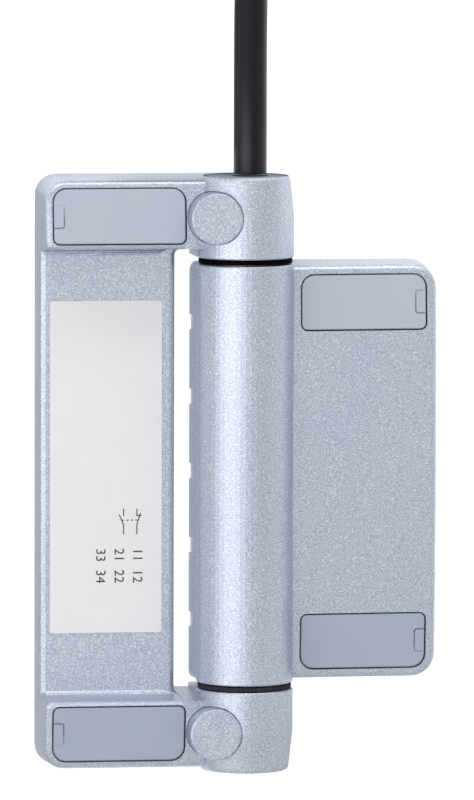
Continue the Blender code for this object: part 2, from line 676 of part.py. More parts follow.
def switch_housing():
    """The die casting of the switch side: leaf, two arms, two knuckles and their bosses."""
    corners = (0, SWITCH_CORNER, SWITCH_CORNER, 0)
    outline = rounded_outline((-SWITCH_REACH, -SWITCH_LEAF_END), (0, SWITCH_LEAF_END), corners, 6)
    top = BACK + PAD_HEIGHT + CUT_PAST
    housing = extruded("switch_housing", outline, BACK, top)
    drafted(housing, BACK, top, -SWITCH_REACH / 2)

    arm = PAD_START - ARM_WALL_LEAN
    window = rounded_outline((SLOT_EDGE, -arm), (BARREL_RADIUS, arm), (0, SLOT_CORNER, SLOT_CORNER, 0))
    window_tool = extruded("window_tool", window, BACK - CUT_PAST, top + CUT_PAST)
    lean = ARM_WALL_LEAN / PAD_HEIGHT * (top - BACK + 2 * CUT_PAST)

    def open_up(point):
        if point.z < 0:
            return point
        return Vector((point.x, point.y * (1 + lean / arm), point.z))

    move_points(window_tool, open_up)
    cut(housing, window_tool, pad_front_tool())
    round_edges(housing, EDGE_ROUND, lambda p: p.z > BACK + CUT_PAST and p.x < -BARREL_RADIUS)

    join(housing, knuckle_foot(), knuckle_round(), flipped(knuckle_foot()), flipped(knuckle_round()))
    for side in (1, -1):
        middle = side * KNUCKLE_MIDDLE
        boss = upright_rod("boss", BOSS_RADIUS, BOSS_X, middle, 0, BOSS_TOP, MEDIUM)
        round_edges(boss, BOSS_EDGE, lambda p: p.z > BOSS_TOP - BOSS_EDGE)
        join(housing, boss)

    pocket = END_PLATE_RADIUS + SEAT_GAP
    near, past = KNUCKLE_START - CUT_PAST, KNUCKLE_END + CUT_PAST
    neck_bore = rod("neck_bore_tool", NECK_SEAT_RADIUS, near, CHAMBER_FLOOR + CUT_PAST, COARSE)
    chamber = rod("chamber_tool", CHAMBER_RADIUS, CHAMBER_FLOOR, PLATE_POCKET_FLOOR + CUT_PAST, COARSE)
    plate_pocket = rod("plate_pocket_tool", pocket, PLATE_POCKET_FLOOR, past, MEDIUM)
    pin_bore = rod("pin_bore_tool", NECK_SEAT_RADIUS, -past, -near, COARSE)
    lower_pocket = rod("lower_plate_pocket_tool", pocket, -past, -PLATE_POCKET_FLOOR, MEDIUM)
    cut(housing, neck_bore, chamber, plate_pocket, pin_bore, lower_pocket)
    for side in (1, -1):
        cut(housing, *lock_screw_tools(side))
    cut(housing, *cover_pocket_tools(
        SWITCH_COVER_X, SWITCH_COVER_Y, SWITCH_COVER_LENGTH, SWITCH_LEDGE_HEIGHT, SWITCH_POCKET_FLOOR
    ))
    width = SWITCH_REACH + SLOT_EDGE - 2 * SWITCH_CORE_SIDE_WALL
    cut(housing, *core_tools(
        (SLOT_EDGE - SWITCH_REACH) / 2, width, SWITCH_CORE_LENGTH, RECESS_HEIGHT - SWITCH_CORE_ROOF,
        SWITCH_CORE_COUNT,
    ))
    return finished(housing, LACQUER, SWITCH_SIDE)


def lock_screw_tools(side):
    """The stepped hole of a lock screw, from the back of a knuckle up into its boss."""
    y = side * KNUCKLE_MIDDLE
    head_floor = BACK + SCREW_HEAD_HEIGHT + 2 * SEAT_GAP
    tip = SCREW_TIP + SEAT_GAP
    hole = upright_rod("lock_hole_tool", SCREW_RADIUS + SEAT_GAP, BOSS_X, y, BACK - CUT_PAST, tip, SMALL)
    head = SCREW_HEAD_RADIUS + SEAT_GAP
    recess = upright_rod("lock_recess_tool", head, BOSS_X, y, BACK - CUT_PAST, head_floor, SMALL)
    return hole, recess


def lock_screw(name, side):
    """A socket screw that runs through the groove of what it locks; its head is at the back."""
    y = side * KNUCKLE_MIDDLE
    head_low = BACK + SEAT_GAP
    head_top = head_low + SCREW_HEAD_HEIGHT
    screw = upright_rod(name, SCREW_HEAD_RADIUS, BOSS_X, y, head_low, head_top, SMALL, BORE_EDGE)
    shank = upright_rod(
        "shank", SCREW_RADIUS, BOSS_X, y, head_top - CUT_PAST, SCREW_TIP, SMALL, BORE_EDGE
    )
    join(screw, shank)
    socket = upright_rod("socket_tool", SCREW_SOCKET, BOSS_X, y, BACK, head_top - CUT_PAST, 6)
    cut(screw, socket)
    return finished(screw, STEEL, SWITCH_SIDE)


def lock_groove_tool(side):
    """The groove that a lock screw crosses in the neck or in the lower pin."""
    y = side * KNUCKLE_MIDDLE
    radius = SCREW_RADIUS + SEAT_GAP
    return upright_rod("lock_groove_tool", radius, BOSS_X, y, -BARREL_RADIUS, BARREL_RADIUS, SMALL)


def barrel_body():
    """The barrel with its heel, which closes the gap to the switch side leaf."""
    barrel = rod("barrel", BARREL_RADIUS, -BARREL_END, BARREL_END, FINE, BORE_EDGE)
    low = BACK - CUT_PAST
    lean = (HEEL_REACH - BARREL_RADIUS) / HEEL_DEPTH
    outline = rounded_outline(
        (-BARREL_RADIUS, -BARREL_END), (BARREL_RADIUS / 2, BARREL_END), (0, HEEL_CORNER, HEEL_CORNER, 0)
    )
    heel = extruded("heel", outline, low, 0)

    def flare(point):
        return Vector((point.x + point.z * lean, point.y, point.z)) if point.x < 0 else point

    move_points(heel, flare)
    swing = math.hypot(HEEL_REACH, HEEL_DEPTH)
    keep_common(heel, rod("heel_swing_tool", swing, -BARREL_LENGTH, BARREL_LENGTH, FINE))
    join(barrel, heel)
    return barrel


def door_leaf():
    """The die casting of the door side: the leaf and the barrel that turns between the knuckles."""
    low, high = (0, -BARREL_END), (DOOR_REACH, BARREL_END)
    outline = rounded_outline(low, high, (DOOR_CORNER, 0, 0, DOOR_CORNER), 6)
    top = BACK + DOOR_LEAF_THICKNESS + CUT_PAST
    leaf = extruded("door_leaf", outline, BACK, top)
    drafted(leaf, BACK, top, DOOR_REACH / 2)
    cut(leaf, door_front_tool())
    round_edges(leaf, EDGE_ROUND, lambda p: p.z > BACK + CUT_PAST and p.x > BARREL_RADIUS / 2)
    join(leaf, barrel_body())
    under_barrel = box(
        "under_barrel_tool",
        (-2 * BARREL_RADIUS, -BARREL_LENGTH, BACK - 2 * CUT_PAST),
        (BARREL_RADIUS, BARREL_LENGTH, BACK + HEEL_LIFT),
    )
    cut(leaf, under_barrel)
    cut(leaf, rod("barrel_bore_tool", BARREL_BORE_RADIUS, -BARREL_LENGTH, BARREL_LENGTH, MEDIUM))
    cut(leaf, cam_pin_hole(-BARREL_RADIUS - CUT_PAST))
    for index in range(NOTCH_COUNT):
        middle = (index - (NOTCH_COUNT - 1) / 2) * NOTCH_PITCH
        notch = box(
            "notch_tool",
            (-2 * HEEL_REACH, middle - NOTCH_WIDTH / 2, -2 * AXIS_HEIGHT),
            (NOTCH_DEPTH - HEEL_REACH, middle + NOTCH_WIDTH / 2, 0),
        )
        cut(leaf, notch)
    cut(leaf, *cover_pocket_tools(
        DOOR_COVER_X, DOOR_COVER_Y, DOOR_COVER_LENGTH, DOOR_LEDGE_HEIGHT, DOOR_POCKET_FLOOR
    ))
    width = DOOR_COVER_LENGTH - 2 * DOOR_CORE_SIDE_WALL
    depth = DOOR_LEAF_THICKNESS - DOOR_CORE_ROOF
    cut(leaf, *core_tools(DOOR_COVER_X, width, DOOR_CORE_LENGTH, depth, DOOR_CORE_COUNT))
    return finished(leaf, LACQUER, DOOR_SIDE)


def pry_groove_tool(edge, y, free_side, low, high):
    """The narrow groove round the place where a cover is prised out, open to its free edge."""
    def outline(inset):
        inner = edge - free_side * (PRY_REACH - inset)
        outer = edge + free_side * (CUT_PAST - inset)
        half = PRY_LENGTH / 2 - inset
        left, right = sorted((inner, outer))
        corner = PRY_CORNER - inset
        corners = (0, corner, corner, 0) if free_side > 0 else (corner, 0, 0, corner)
        return rounded_outline((left, y - half), (right, y + half), corners, 3)

    groove = extruded("pry_groove_tool", outline(0), low, high)
    tab = extruded("pry_tab_tool", outline(PRY_GROOVE), low - CUT_PAST, high + CUT_PAST)
    tab.data.transform(Matrix.Translation((free_side * 2 * CUT_PAST, 0, 0)))
    inside = extruded("pry_tab_tool", outline(PRY_GROOVE), low - CUT_PAST, high + CUT_PAST)
    cut(groove, inside, tab)
    return groove


def screw_cover(name, x, y, length, ledge, free_side, front_tool, holder):
    """A snap-in cover: plate with a pry place at its free edge, and two clips underneath."""
    side = 1 if y > 0 else -1
    low = BACK + ledge + SEAT_GAP
    cover = extruded(name, cover_outline(x, y, length, COVER_WIDTH, side), low, AXIS_HEIGHT)
    cut(cover, front_tool)
    edge = x + free_side * length / 2
    front = [v.co for v in cover.data.vertices if v.co.z > low + CUT_PAST]
    round_edges(cover, COVER_EDGE, lambda p: p.z > low + CUT_PAST, 2)
    pry_floor = sum(v.z for v in front if abs(v.x - edge) < PRY_REACH)
    pry_floor /= sum(1 for v in front if abs(v.x - edge) < PRY_REACH)
    cut(cover, pry_groove_tool(edge, y, free_side, pry_floor - PRY_DEPTH, AXIS_HEIGHT + CUT_PAST))
    reach = length / 2 - LEDGE_WIDTH
    for end in (1, -1):
        spans = sorted((x + end * reach, x + end * (reach - CLIP_THICKNESS)))
        clip = box(
            "clip",
            (spans[0], y - CLIP_WIDTH / 2, low - CLIP_LENGTH),
            (spans[1], y + CLIP_WIDTH / 2, low + CUT_PAST / 2),
        )
        join(cover, clip)
    return finished(cover, COVER_PLASTIC, holder)


def rating_label():
    floor = BACK + RECESS_HEIGHT + LABEL_GAP
    low = (LABEL_SIDE_MARGIN - SWITCH_REACH, LABEL_LOW_MARGIN - PAD_START)
    high = (SLOT_EDGE - LABEL_SLOT_MARGIN, PAD_START - LABEL_TOP_MARGIN)
    outline = rounded_outline(low, high, [LABEL_CORNER] * 4, 3)
    return finished(extruded("rating_label", outline, floor, floor + LABEL_THICKNESS), LABEL, SWITCH_SIDE)


def cable_hole_tool():
    hole = rod("cable_hole_tool", CABLE_DIAMETER / 2 + SEAT_GAP, 0, 2 * KNUCKLE_END, 32)
    hole.data.transform(Matrix.Translation((CABLE_X, 0, CABLE_Z)))
    return hole


def end_plate(name, side):
    """The plate that closes a knuckle; the upper one has the hole of the cable."""
    high = KNUCKLE_END - END_PLATE_SINK
    low = high - END_PLATE_THICKNESS
    span = (low, high) if side > 0 else (-high, -low)
    plate = rod(name, END_PLATE_RADIUS, *span, MEDIUM, BORE_EDGE)
    if side > 0:
        cut(plate, cable_hole_tool())
    return finished(plate, PLATE_GREY, SWITCH_SIDE)


def cable_seal():
    """The rubber seal round the cable, in the chamber behind the end plate."""
    high = PLATE_POCKET_FLOOR - SEAT_GAP
    seal = rod("cable_seal", CHAMBER_RADIUS - SEAT_GAP, high - SEAL_THICKNESS, high, COARSE, BORE_EDGE)
    cut(seal, cable_hole_tool())
    return finished(seal, RUBBER, SWITCH_SIDE)


def ring_piece(name, inner, outer, low, high, material, holder):
    profile = [(outer, high), (outer, low), (inner, low), (inner, high)]
    return finished(turned(name, profile, MEDIUM, closed=True), material, holder)


def switch_insert():
    """The fixed sleeve: a neck locked in the upper knuckle and a wider bore for the contacts."""
    profile = [
        (NECK_RADIUS, NECK_TOP),
        (NECK_RADIUS, SHOULDER),
        (INSERT_RADIUS, SHOULDER),
        (INSERT_RADIUS, INSERT_END),
        (INSERT_BORE_RADIUS, INSERT_END),
        (INSERT_BORE_RADIUS, SHOULDER - INSERT_SHOULDER),
        (NECK_BORE_RADIUS, SHOULDER - INSERT_SHOULDER),
        (NECK_BORE_RADIUS, NECK_TOP),
    ]
    insert = turned("switch_insert", profile, COARSE, closed=True)
    cut(insert, lock_groove_tool(1))
    half = LUG_WIDTH / 2 + SEAT_GAP
    slot_top = FOOT_TOP + TRAVEL + CUT_PAST
    slots = box(
        "lug_slot_tool",
        (-BARREL_RADIUS, INSERT_END - CUT_PAST, -half),
        (BARREL_RADIUS, slot_top, half),
    )
    cut(insert, slots)
    return finished(insert, INSERT_METAL, SWITCH_SIDE)


def lower_hinge_pin():
    """The stepped pin: a body locked in the lower knuckle and a journal in the lower bush."""
    start = -BARREL_END - SEAT_GAP
    end = -PLATE_POCKET_FLOOR + SEAT_GAP
    profile = [
        (0, start + JOURNAL_LENGTH),
        (JOURNAL_RADIUS - PIN_CHAMFER, start + JOURNAL_LENGTH),
        (JOURNAL_RADIUS, start + JOURNAL_LENGTH - PIN_CHAMFER),
        (JOURNAL_RADIUS, start),
        (NECK_RADIUS, start),
        (NECK_RADIUS, end + PIN_CHAMFER),
        (NECK_RADIUS - PIN_CHAMFER, end),
        (0, end),
    ]
    pin = turned("lower_hinge_pin", profile, COARSE)
    cut(pin, lock_groove_tool(-1))
    return finished(pin, STEEL, SWITCH_SIDE)


def camshaft():
    """The cam that turns with the barrel; its ramp climbs at a steady rate round the axis."""
    shaft = rod("camshaft", BUSH_RADIUS, CAMSHAFT_LOW, CAMSHAFT_TOP, COARSE, BORE_EDGE)
    sweep = OPEN_ANGLE + 2 * CAM_OVERRUN
    steps = 36
    start = CAMSHAFT_TOP + TRAVEL - LEAD * CAM_OVERRUN
    root = CAMSHAFT_TOP - TRAVEL - CUT_PAST
    bm = bmesh.new()
    corners = (
        (CAM_INNER_RADIUS, root),
        (CAM_OUTER_RADIUS, root),
        (CAM_OUTER_RADIUS, start),
        (CAM_INNER_RADIUS, start),
    )
    face = bm.faces.new([bm.verts.new((0, y, r)) for r, y in corners])
    rotate = Matrix.Rotation(-CAM_OVERRUN, 4, "Y")
    bmesh.ops.transform(bm, matrix=rotate, verts=bm.verts)
    bmesh.ops.spin(
        bm,
        geom=[face, *face.edges, *face.verts],
        cent=(0, 0, 0),
        axis=(0, 1, 0),
        dvec=(0, LEAD * sweep / steps, 0),
        angle=sweep,
        steps=steps,
    )
    bmesh.ops.remove_doubles(bm, verts=bm.verts, dist=0.002 * MM)
    bmesh.ops.recalc_face_normals(bm, faces=bm.faces)
    mesh = bpy.data.meshes.new("cam_ramp")
    bm.to_mesh(mesh)
    bm.free()
    ramp = bpy.data.objects.new("cam_ramp", mesh)
    PARTS.objects.link(ramp)
    join(shaft, ramp)
    cut(shaft, cam_pin_hole(-BARREL_RADIUS))
    return finished(shaft, CAM_PLASTIC, DOOR_SIDE)


def cam_pin_hole(low):
    end = CAM_PIN_LOW + CAM_PIN_LENGTH + SEAT_GAP
    return upright_rod("cam_pin_hole_tool", CAM_PIN_RADIUS + SEAT_GAP, 0, CAM_PIN_Y, low, end, SMALL)


def cam_pin():
    """The pin that makes the camshaft turn with the barrel, driven in from the back."""
    end = CAM_PIN_LOW + CAM_PIN_LENGTH
    pin = upright_rod("cam_pin", CAM_PIN_RADIUS, 0, CAM_PIN_Y, CAM_PIN_LOW, end, SMALL, BORE_EDGE)
    return finished(pin, STEEL, DOOR_SIDE)


def bridge_levels():
    """The bottom of each contact bridge's bar: two that rest on their contacts and one below them."""
    closed = [level + SEAT_GAP + RIVET_HEIGHT for level in CLOSED_CONTACT_LEVELS]
    return [*closed, OPEN_CONTACT_LEVEL - SEAT_GAP - TRAVEL - RIVET_HEIGHT - CONTACT_STRIP]


def plunger():
    """The sliding stem: collars that hold the bridges, a foot with two lugs, and the cam nose."""
    stem_top = CARRIER_TOP - CONTACT_CLEARANCE
    profile = [(0, stem_top), (STEM_RADIUS, stem_top)]
    for level in bridge_levels():
        above = level + CONTACT_STRIP + SEAT_GAP
        below = level - SEAT_GAP
        for low in (above, below - COLLAR_THICKNESS):
            high = low + COLLAR_THICKNESS
            profile += [(STEM_RADIUS, high), (COLLAR_RADIUS, high), (COLLAR_RADIUS, low), (STEM_RADIUS, low)]
    foot_radius = INSERT_BORE_RADIUS - RUNNING_GAP
    profile += [(STEM_RADIUS, FOOT_TOP), (foot_radius, FOOT_TOP), (foot_radius, FOOT_LOW), (0, FOOT_LOW)]
    stem = turned("plunger", profile, 20)
    half = LUG_WIDTH / 2
    reach = INSERT_RADIUS - SEAT_GAP
    lugs = box("lugs", (-reach, FOOT_LOW + SEAT_GAP, -half), (reach, FOOT_TOP - SEAT_GAP, half))
    round_tip = NOSE_WIDTH / 2
    outline = arc((0, NOSE_TIP + round_tip), round_tip, 180, 360, 8)
    outline += [(round_tip, FOOT_LOW + CUT_PAST), (-round_tip, FOOT_LOW + CUT_PAST)]
    on_ring = (CAM_INNER_RADIUS + CAM_OUTER_RADIUS) / 2
    nose = extruded("nose", outline, on_ring - round_tip, on_ring + round_tip)
    join(stem, lugs, nose)
    return finished(stem, CAM_PLASTIC, CONTACT_SLIDE)


def radial_piece(name, outline, width, turn):
    """An outline of (radius, height along the axis), as thick as width, turned round the axis."""
    made = extruded(name, outline, -width / 2, width / 2)
    made.data.transform(Matrix.Rotation(turn, 4, "Y"))
    return made


def fixed_contact(name, level, turn, closed):
    """An angled strip in the carrier; its foot points at the axis and carries the contact tip."""
    inner = STRIP_RADIUS - CONTACT_STRIP
    reach = RIVET_START - RIVET_EDGE
    top = CARRIER_TOP + CONTACT_TAIL
    foot_top = level - RIVET_HEIGHT if closed else level + RIVET_HEIGHT + CONTACT_STRIP
    foot_low = foot_top - CONTACT_STRIP
    outline = [(STRIP_RADIUS, foot_low)]
    if closed:
        outline += [(reach, foot_low), (reach, foot_top), (RIVET_START, foot_top)]
        outline += [(RIVET_START, level), (RIVET_END, level), (RIVET_END, foot_top)]
    else:
        outline += [(RIVET_END, foot_low), (RIVET_END, level), (RIVET_START, level), (RIVET_START, foot_low)]
        outline += [(reach, foot_low), (reach, foot_top)]
    outline += [(inner, foot_top), (inner, top), (STRIP_RADIUS, top)]
    strip = radial_piece(name, outline, CONTACT_WIDTH, turn)
    return finished(strip, BRASS, SWITCH_SIDE)


def contact_bridge(name, low, turn, closed):
    """A bar across the stem with a contact tip at each end."""
    high = low + CONTACT_STRIP
    middle = (low + high) / 2
    half = BRIDGE_WIDTH / 2 + STEM_GUIDE_RADIUS
    spans = (low - RIVET_HEIGHT, middle) if closed else (middle, high + RIVET_HEIGHT)
    bridge = box(name, (-BRIDGE_REACH, low, -half), (BRIDGE_REACH, high, half))
    tip_half = CONTACT_WIDTH / 2
    join(bridge, box("tip", (RIVET_START, spans[0], -tip_half), (RIVET_END, spans[1], tip_half)))
    join(bridge, box("tip", (-RIVET_END, spans[0], -tip_half), (-RIVET_START, spans[1], tip_half)))
    cut(bridge, rod("stem_hole_tool", STEM_GUIDE_RADIUS, low - CUT_PAST, high + CUT_PAST, SMALL))
    bridge.data.transform(Matrix.Rotation(turn, 4, "Y"))
    return finished(bridge, BRASS, CONTACT_SLIDE)


def contact_carrier():
    """The plastic carrier: a cup with a guide for the stem at each end and slots for six strips."""
    carrier = rod("contact_carrier", CARRIER_RADIUS, CARRIER_BOTTOM, CARRIER_TOP, COARSE, BORE_EDGE)
    low = CARRIER_BOTTOM + CARRIER_ROOF
    high = CARRIER_TOP - CARRIER_ROOF
    guide = rod("stem_guide_tool", STEM_GUIDE_RADIUS, CARRIER_BOTTOM - CUT_PAST, CARRIER_TOP + CUT_PAST, SMALL)
    cut(carrier, guide, rod("contact_space_tool", CONTACT_SPACE_RADIUS, low, high, COARSE))
    outer = CONTACT_SPACE_RADIUS
    inner = outer - CONTACT_STRIP - 2 * SEAT_GAP
    for index in range(6):
        outline = [(inner, high - CUT_PAST), (outer, high - CUT_PAST)]
        outline += [(outer, CARRIER_TOP + CUT_PAST), (inner, CARRIER_TOP + CUT_PAST)]
        slot = radial_piece("strip_slot_tool", outline, CONTACT_WIDTH + 2 * SEAT_GAP, index * CONTACT_TURN)
        cut(carrier, slot)
    return finished(carrier, CARRIER_PLASTIC, SWITCH_SIDE)


def contacts():
    """Two closed contact pairs and one open pair, a third of a half turn apart."""
    levels = bridge_levels()
    pairs = (
        ("11", "12", "closed_bridge_a", CLOSED_CONTACT_LEVELS[0], levels[0], True),
        ("21", "22", "closed_bridge_b", CLOSED_CONTACT_LEVELS[1], levels[1], True),
        ("33", "34", "open_bridge", OPEN_CONTACT_LEVEL, levels[2], False),
    )
    for index, (first, second, bridge, level, low, closed) in enumerate(pairs):
        turn = index * CONTACT_TURN
        fixed_contact("fixed_contact_" + first, level, turn, closed)
        fixed_contact("fixed_contact_" + second, level, turn + math.pi, closed)
        contact_bridge(bridge, low, turn, closed)


def tube(name, points, diameter, resolution):
    """A round cord or wire with closed ends along the points."""
    curve = bpy.data.curves.new(name, "CURVE")
    curve.dimensions = "3D"
    curve.bevel_depth = diameter / 2
    curve.bevel_resolution = resolution
    curve.use_fill_caps = True
    spline = curve.splines.new("POLY")
    spline.points.add(len(points) - 1)
    for point, place in zip(spline.points, points):
        point.co = (*place, 1)
    drawn = bpy.data.objects.new(name, curve)
    PARTS.objects.link(drawn)
    return from_source(drawn)


def return_spring():
    """The coil spring that holds the foot's nose on the cam."""
    low = FOOT_TOP + SEAT_GAP + SPRING_WIRE / 2
    high = CARRIER_BOTTOM - SEAT_GAP - SPRING_WIRE / 2
    around = 12
    count = SPRING_TURNS * around
    points = []
    for step in range(count + 1):
        angle = math.tau * step / around
        y = low + (high - low) * step / count
        points.append((SPRING_RADIUS * math.cos(angle), y, SPRING_RADIUS * math.sin(angle)))
    return finished(tube("return_spring", points, SPRING_WIRE, 1), STEEL, SWITCH_SIDE)


def cable_route():
    """The cable's centre line: straight out and down, then right in a bend and along the coil's side."""
    plan = []
    straight = 8
    for step in range(straight):
        t = step / straight
        plan.append((CABLE_X + CABLE_DRIFT * t * t, KNUCKLE_END + (CABLE_BEND_START - KNUCKLE_END) * t))
    across = CABLE_BEND_X - COIL_CENTRE_X
    meet = math.degrees(math.atan2(COIL_CENTRE_Y - CABLE_BEND_START, -across))
    plan += arc((CABLE_BEND_X, CABLE_BEND_START), CABLE_BEND_RADIUS, 180, meet, 6)
    beside = math.degrees(CABLE_BESIDE_COIL)
    plan += arc((COIL_CENTRE_X, COIL_CENTRE_Y), COIL_SIDE_RADIUS, meet - 180, meet - 180 + beside, 3)[1:]
    leaving = AXIS_HEIGHT + CABLE_Z
    joining = COIL_LIFT + CABLE_DIAMETER / 2
    route = []
    for x, y in plan:
        down = min(max((y - CABLE_FALL_START) / (CABLE_BEND_START + 14 * MM - CABLE_FALL_START), 0), 1)
        up = min(max((y - CABLE_BEND_START - 14 * MM) / (20 * MM), 0), 1)
        z = leaving + (CABLE_LIE_HEIGHT - leaving) * down * down * (3 - 2 * down)
        route.append((HINGE_X + x, y, z + (joining - CABLE_LIE_HEIGHT) * up * up * (3 - 2 * up)))
    return route


def cable_pieces():
    """The cable's run to the coil, the cores inside the hinge, the coil, its ties and its bare end."""
    start = (HINGE_X + CABLE_X, CABLE_INNER_END, AXIS_HEIGHT + CABLE_Z)
    finished(tube("connection_cable", [start, *cable_route()], CABLE_DIAMETER, 3), CABLE_BLACK, None)

    bundle = CORE_BUNDLE_DIAMETER / 2
    cores = [
        (CABLE_X, CABLE_INNER_END - SEAT_GAP, CABLE_Z),
        (CABLE_X, CABLE_INNER_END - 4 * SEAT_GAP, CABLE_Z),
        (0.4 * CABLE_X, NECK_TOP - 4 * bundle, 0.4 * CABLE_Z),
        (0, NECK_TOP - 8 * bundle, 0),
        (0, CORE_BUNDLE_END, 0),
    ]
    finished(tube("core_wires", cores, CORE_BUNDLE_DIAMETER, 1), CABLE_BLACK, SWITCH_SIDE)

    half = COIL_SPAN / 2
    section = rounded_outline(
        (COIL_MEAN_RADIUS - half, COIL_LIFT),
        (COIL_MEAN_RADIUS + half, COIL_LIFT + COIL_HEIGHT),
        [CABLE_DIAMETER / 2] * 4,
        2,
    )
    coil = turned("cable_coil", section, 48, closed=True)
    coil_x = HINGE_X + COIL_CENTRE_X
    coil.data.transform(Matrix.Translation((coil_x, COIL_CENTRE_Y, 0)) @ ALONG_AXIS.inverted())
    finished(coil, CABLE_BLACK, None)

    for name, side in (("near_cable_tie", -1), ("far_cable_tie", 1)):
        finished(cable_tie(name, coil_x, COIL_CENTRE_Y + side * COIL_MEAN_RADIUS), CABLE_BLACK, None)
    finished(core_ends(coil_x), CABLE_BLACK, None)


def cable_tie(name, x, y):
    """A strap round the coil's section; the coil rests on the two straps."""
    half = COIL_SPAN / 2 + SEAT_GAP
    high = COIL_LIFT + COIL_HEIGHT + SEAT_GAP
    wide = half + TIE_THICKNESS
    outline = rounded_outline((y - wide, 0), (y + wide, high + TIE_THICKNESS), [CABLE_DIAMETER / 2] * 4, 3)
    strap = extruded(name, outline, x - TIE_WIDTH / 2, x + TIE_WIDTH / 2, "YZ")
    corner = CABLE_DIAMETER / 2 - TIE_THICKNESS
    inside = rounded_outline((y - half, TIE_THICKNESS), (y + half, high), [corner] * 4, 3)
    cut(strap, extruded("tie_tool", inside, x - TIE_WIDTH, x + TIE_WIDTH, "YZ"))
    return strap


def core_ends(coil_x):
    """The stripped cores of the cable's far end, lying on the coil along its middle turn."""
    low = COIL_LIFT + COIL_HEIGHT + SEAT_GAP
    sweep = math.degrees(CORE_END_LENGTH / COIL_MEAN_RADIUS)
    middle = (coil_x, COIL_CENTRE_Y)
    outer = arc(middle, COIL_MEAN_RADIUS + CORE_END_WIDTH / 2, 160, 160 + sweep, 8)
    inner = arc(middle, COIL_MEAN_RADIUS - CORE_END_WIDTH / 2, 160 + sweep, 160, 8)
    return extruded("core_ends", outer + inner, low, low + CORE_END_THICKNESS)


def build():
    for name, height in (("upper_screw_cover", 1), ("lower_screw_cover", -1)):
        screw_cover(
            name, SWITCH_COVER_X, height * SWITCH_COVER_Y, SWITCH_COVER_LENGTH, SWITCH_LEDGE_HEIGHT, -1,
            pad_front_tool(COVER_SINK), SWITCH_SIDE,
        )
    for name, height in (("door_upper_cover", 1), ("door_lower_cover", -1)):
        screw_cover(
            name, DOOR_COVER_X, height * DOOR_COVER_Y, DOOR_COVER_LENGTH, DOOR_LEDGE_HEIGHT, 1,
            door_front_tool(COVER_SINK), DOOR_SIDE,
        )
    switch_housing()
    door_leaf()
    rating_label()
    end_plate("cable_end_plate", 1)
    end_plate("lower_end_plate", -1)
    cable_seal()
    lock_screw("upper_lock_screw", 1)
    lock_screw("lower_lock_screw", -1)
    switch_insert()
    lower_hinge_pin()
    ring_gap = (KNUCKLE_GAP - 2 * SEAT_GAP) / 2
    ring_middle = BARREL_END + KNUCKLE_GAP / 2
    for name, middle in (("upper_seal_ring", ring_middle), ("lower_seal_ring", -ring_middle)):
        ring_piece(
            name, NECK_SEAT_RADIUS, SEAL_RING_RADIUS, middle - ring_gap, middle + ring_gap, RUBBER, SWITCH_SIDE
        )
    inset = BARREL_END - BORE_EDGE
    ring_piece(
        "upper_bush", NECK_SEAT_RADIUS, BUSH_RADIUS, BARREL_END - BUSH_LENGTH, inset, BUSH_PLASTIC, DOOR_SIDE
    )
    ring_piece(
        "lower_bush", JOURNAL_RADIUS + SEAT_GAP, BUSH_RADIUS, -inset, BUSH_LENGTH - BARREL_END,
        BUSH_PLASTIC, DOOR_SIDE,
    )
    camshaft()
    cam_pin()
    plunger()
    contact_carrier()
    contacts()
    return_spring()
    cable_pieces()


clear_scene()
PARTS = new_collection("safety_hinge_switch")
CUTTERS = new_collection("safety_hinge_switch_cutters")
LACQUER = new_material("silver_lacquer", (0.45, 0.48, 0.55), 0.42, 0.85)
COVER_PLASTIC = new_material("grey_cover_plastic", (0.38, 0.43, 0.52), 0.45, 0.0)
PLATE_GREY = new_material("grey_end_plate", (0.37, 0.41, 0.50), 0.5, 0.0)
LABEL = new_material("white_label", (0.85, 0.84, 0.84), 0.4, 0.0)
RUBBER = new_material("black_rubber", (0.012, 0.012, 0.013), 0.6, 0.0)
CABLE_BLACK = new_material("black_cable", (0.02, 0.021, 0.026), 0.45, 0.0)
STEEL = new_material("bright_steel", (0.6, 0.6, 0.61), 0.3, 1.0)
INSERT_METAL = new_material("insert_aluminium", (0.65, 0.66, 0.68), 0.4, 1.0)
BUSH_PLASTIC = new_material("bush_plastic", (0.75, 0.74, 0.68), 0.5, 0.0)
CAM_PLASTIC = new_material("white_cam_plastic", (0.8, 0.8, 0.78), 0.45, 0.0)
CARRIER_PLASTIC = new_material("black_carrier_plastic", (0.03, 0.03, 0.032), 0.5, 0.0)
BRASS = new_material("contact_brass", (0.78, 0.6, 0.3), 0.3, 1.0)
AXIS_MIDDLE = (HINGE_X, 0, AXIS_HEIGHT)
SWITCH_SIDE = new_empty("switch_side", AXIS_MIDDLE)
DOOR_SIDE = new_empty("door_side", AXIS_MIDDLE)
CONTACT_SLIDE = new_empty("contact_slide", AXIS_MIDDLE)
build()
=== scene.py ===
import math

import bmesh
import bpy
from mathutils import Matrix, Vector


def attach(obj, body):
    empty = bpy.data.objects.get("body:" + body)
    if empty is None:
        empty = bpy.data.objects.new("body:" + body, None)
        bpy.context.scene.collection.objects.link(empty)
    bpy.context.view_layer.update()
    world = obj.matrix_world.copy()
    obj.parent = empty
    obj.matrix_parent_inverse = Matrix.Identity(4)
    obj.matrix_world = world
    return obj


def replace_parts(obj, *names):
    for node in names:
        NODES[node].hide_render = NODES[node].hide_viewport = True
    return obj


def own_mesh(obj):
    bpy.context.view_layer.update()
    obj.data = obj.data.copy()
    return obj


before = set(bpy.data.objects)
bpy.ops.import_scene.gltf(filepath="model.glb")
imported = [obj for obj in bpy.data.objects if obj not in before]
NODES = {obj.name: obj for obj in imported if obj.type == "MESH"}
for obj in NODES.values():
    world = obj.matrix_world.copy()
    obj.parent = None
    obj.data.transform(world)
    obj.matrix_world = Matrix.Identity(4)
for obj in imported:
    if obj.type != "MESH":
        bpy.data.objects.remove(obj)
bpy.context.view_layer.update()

MM = 0.001

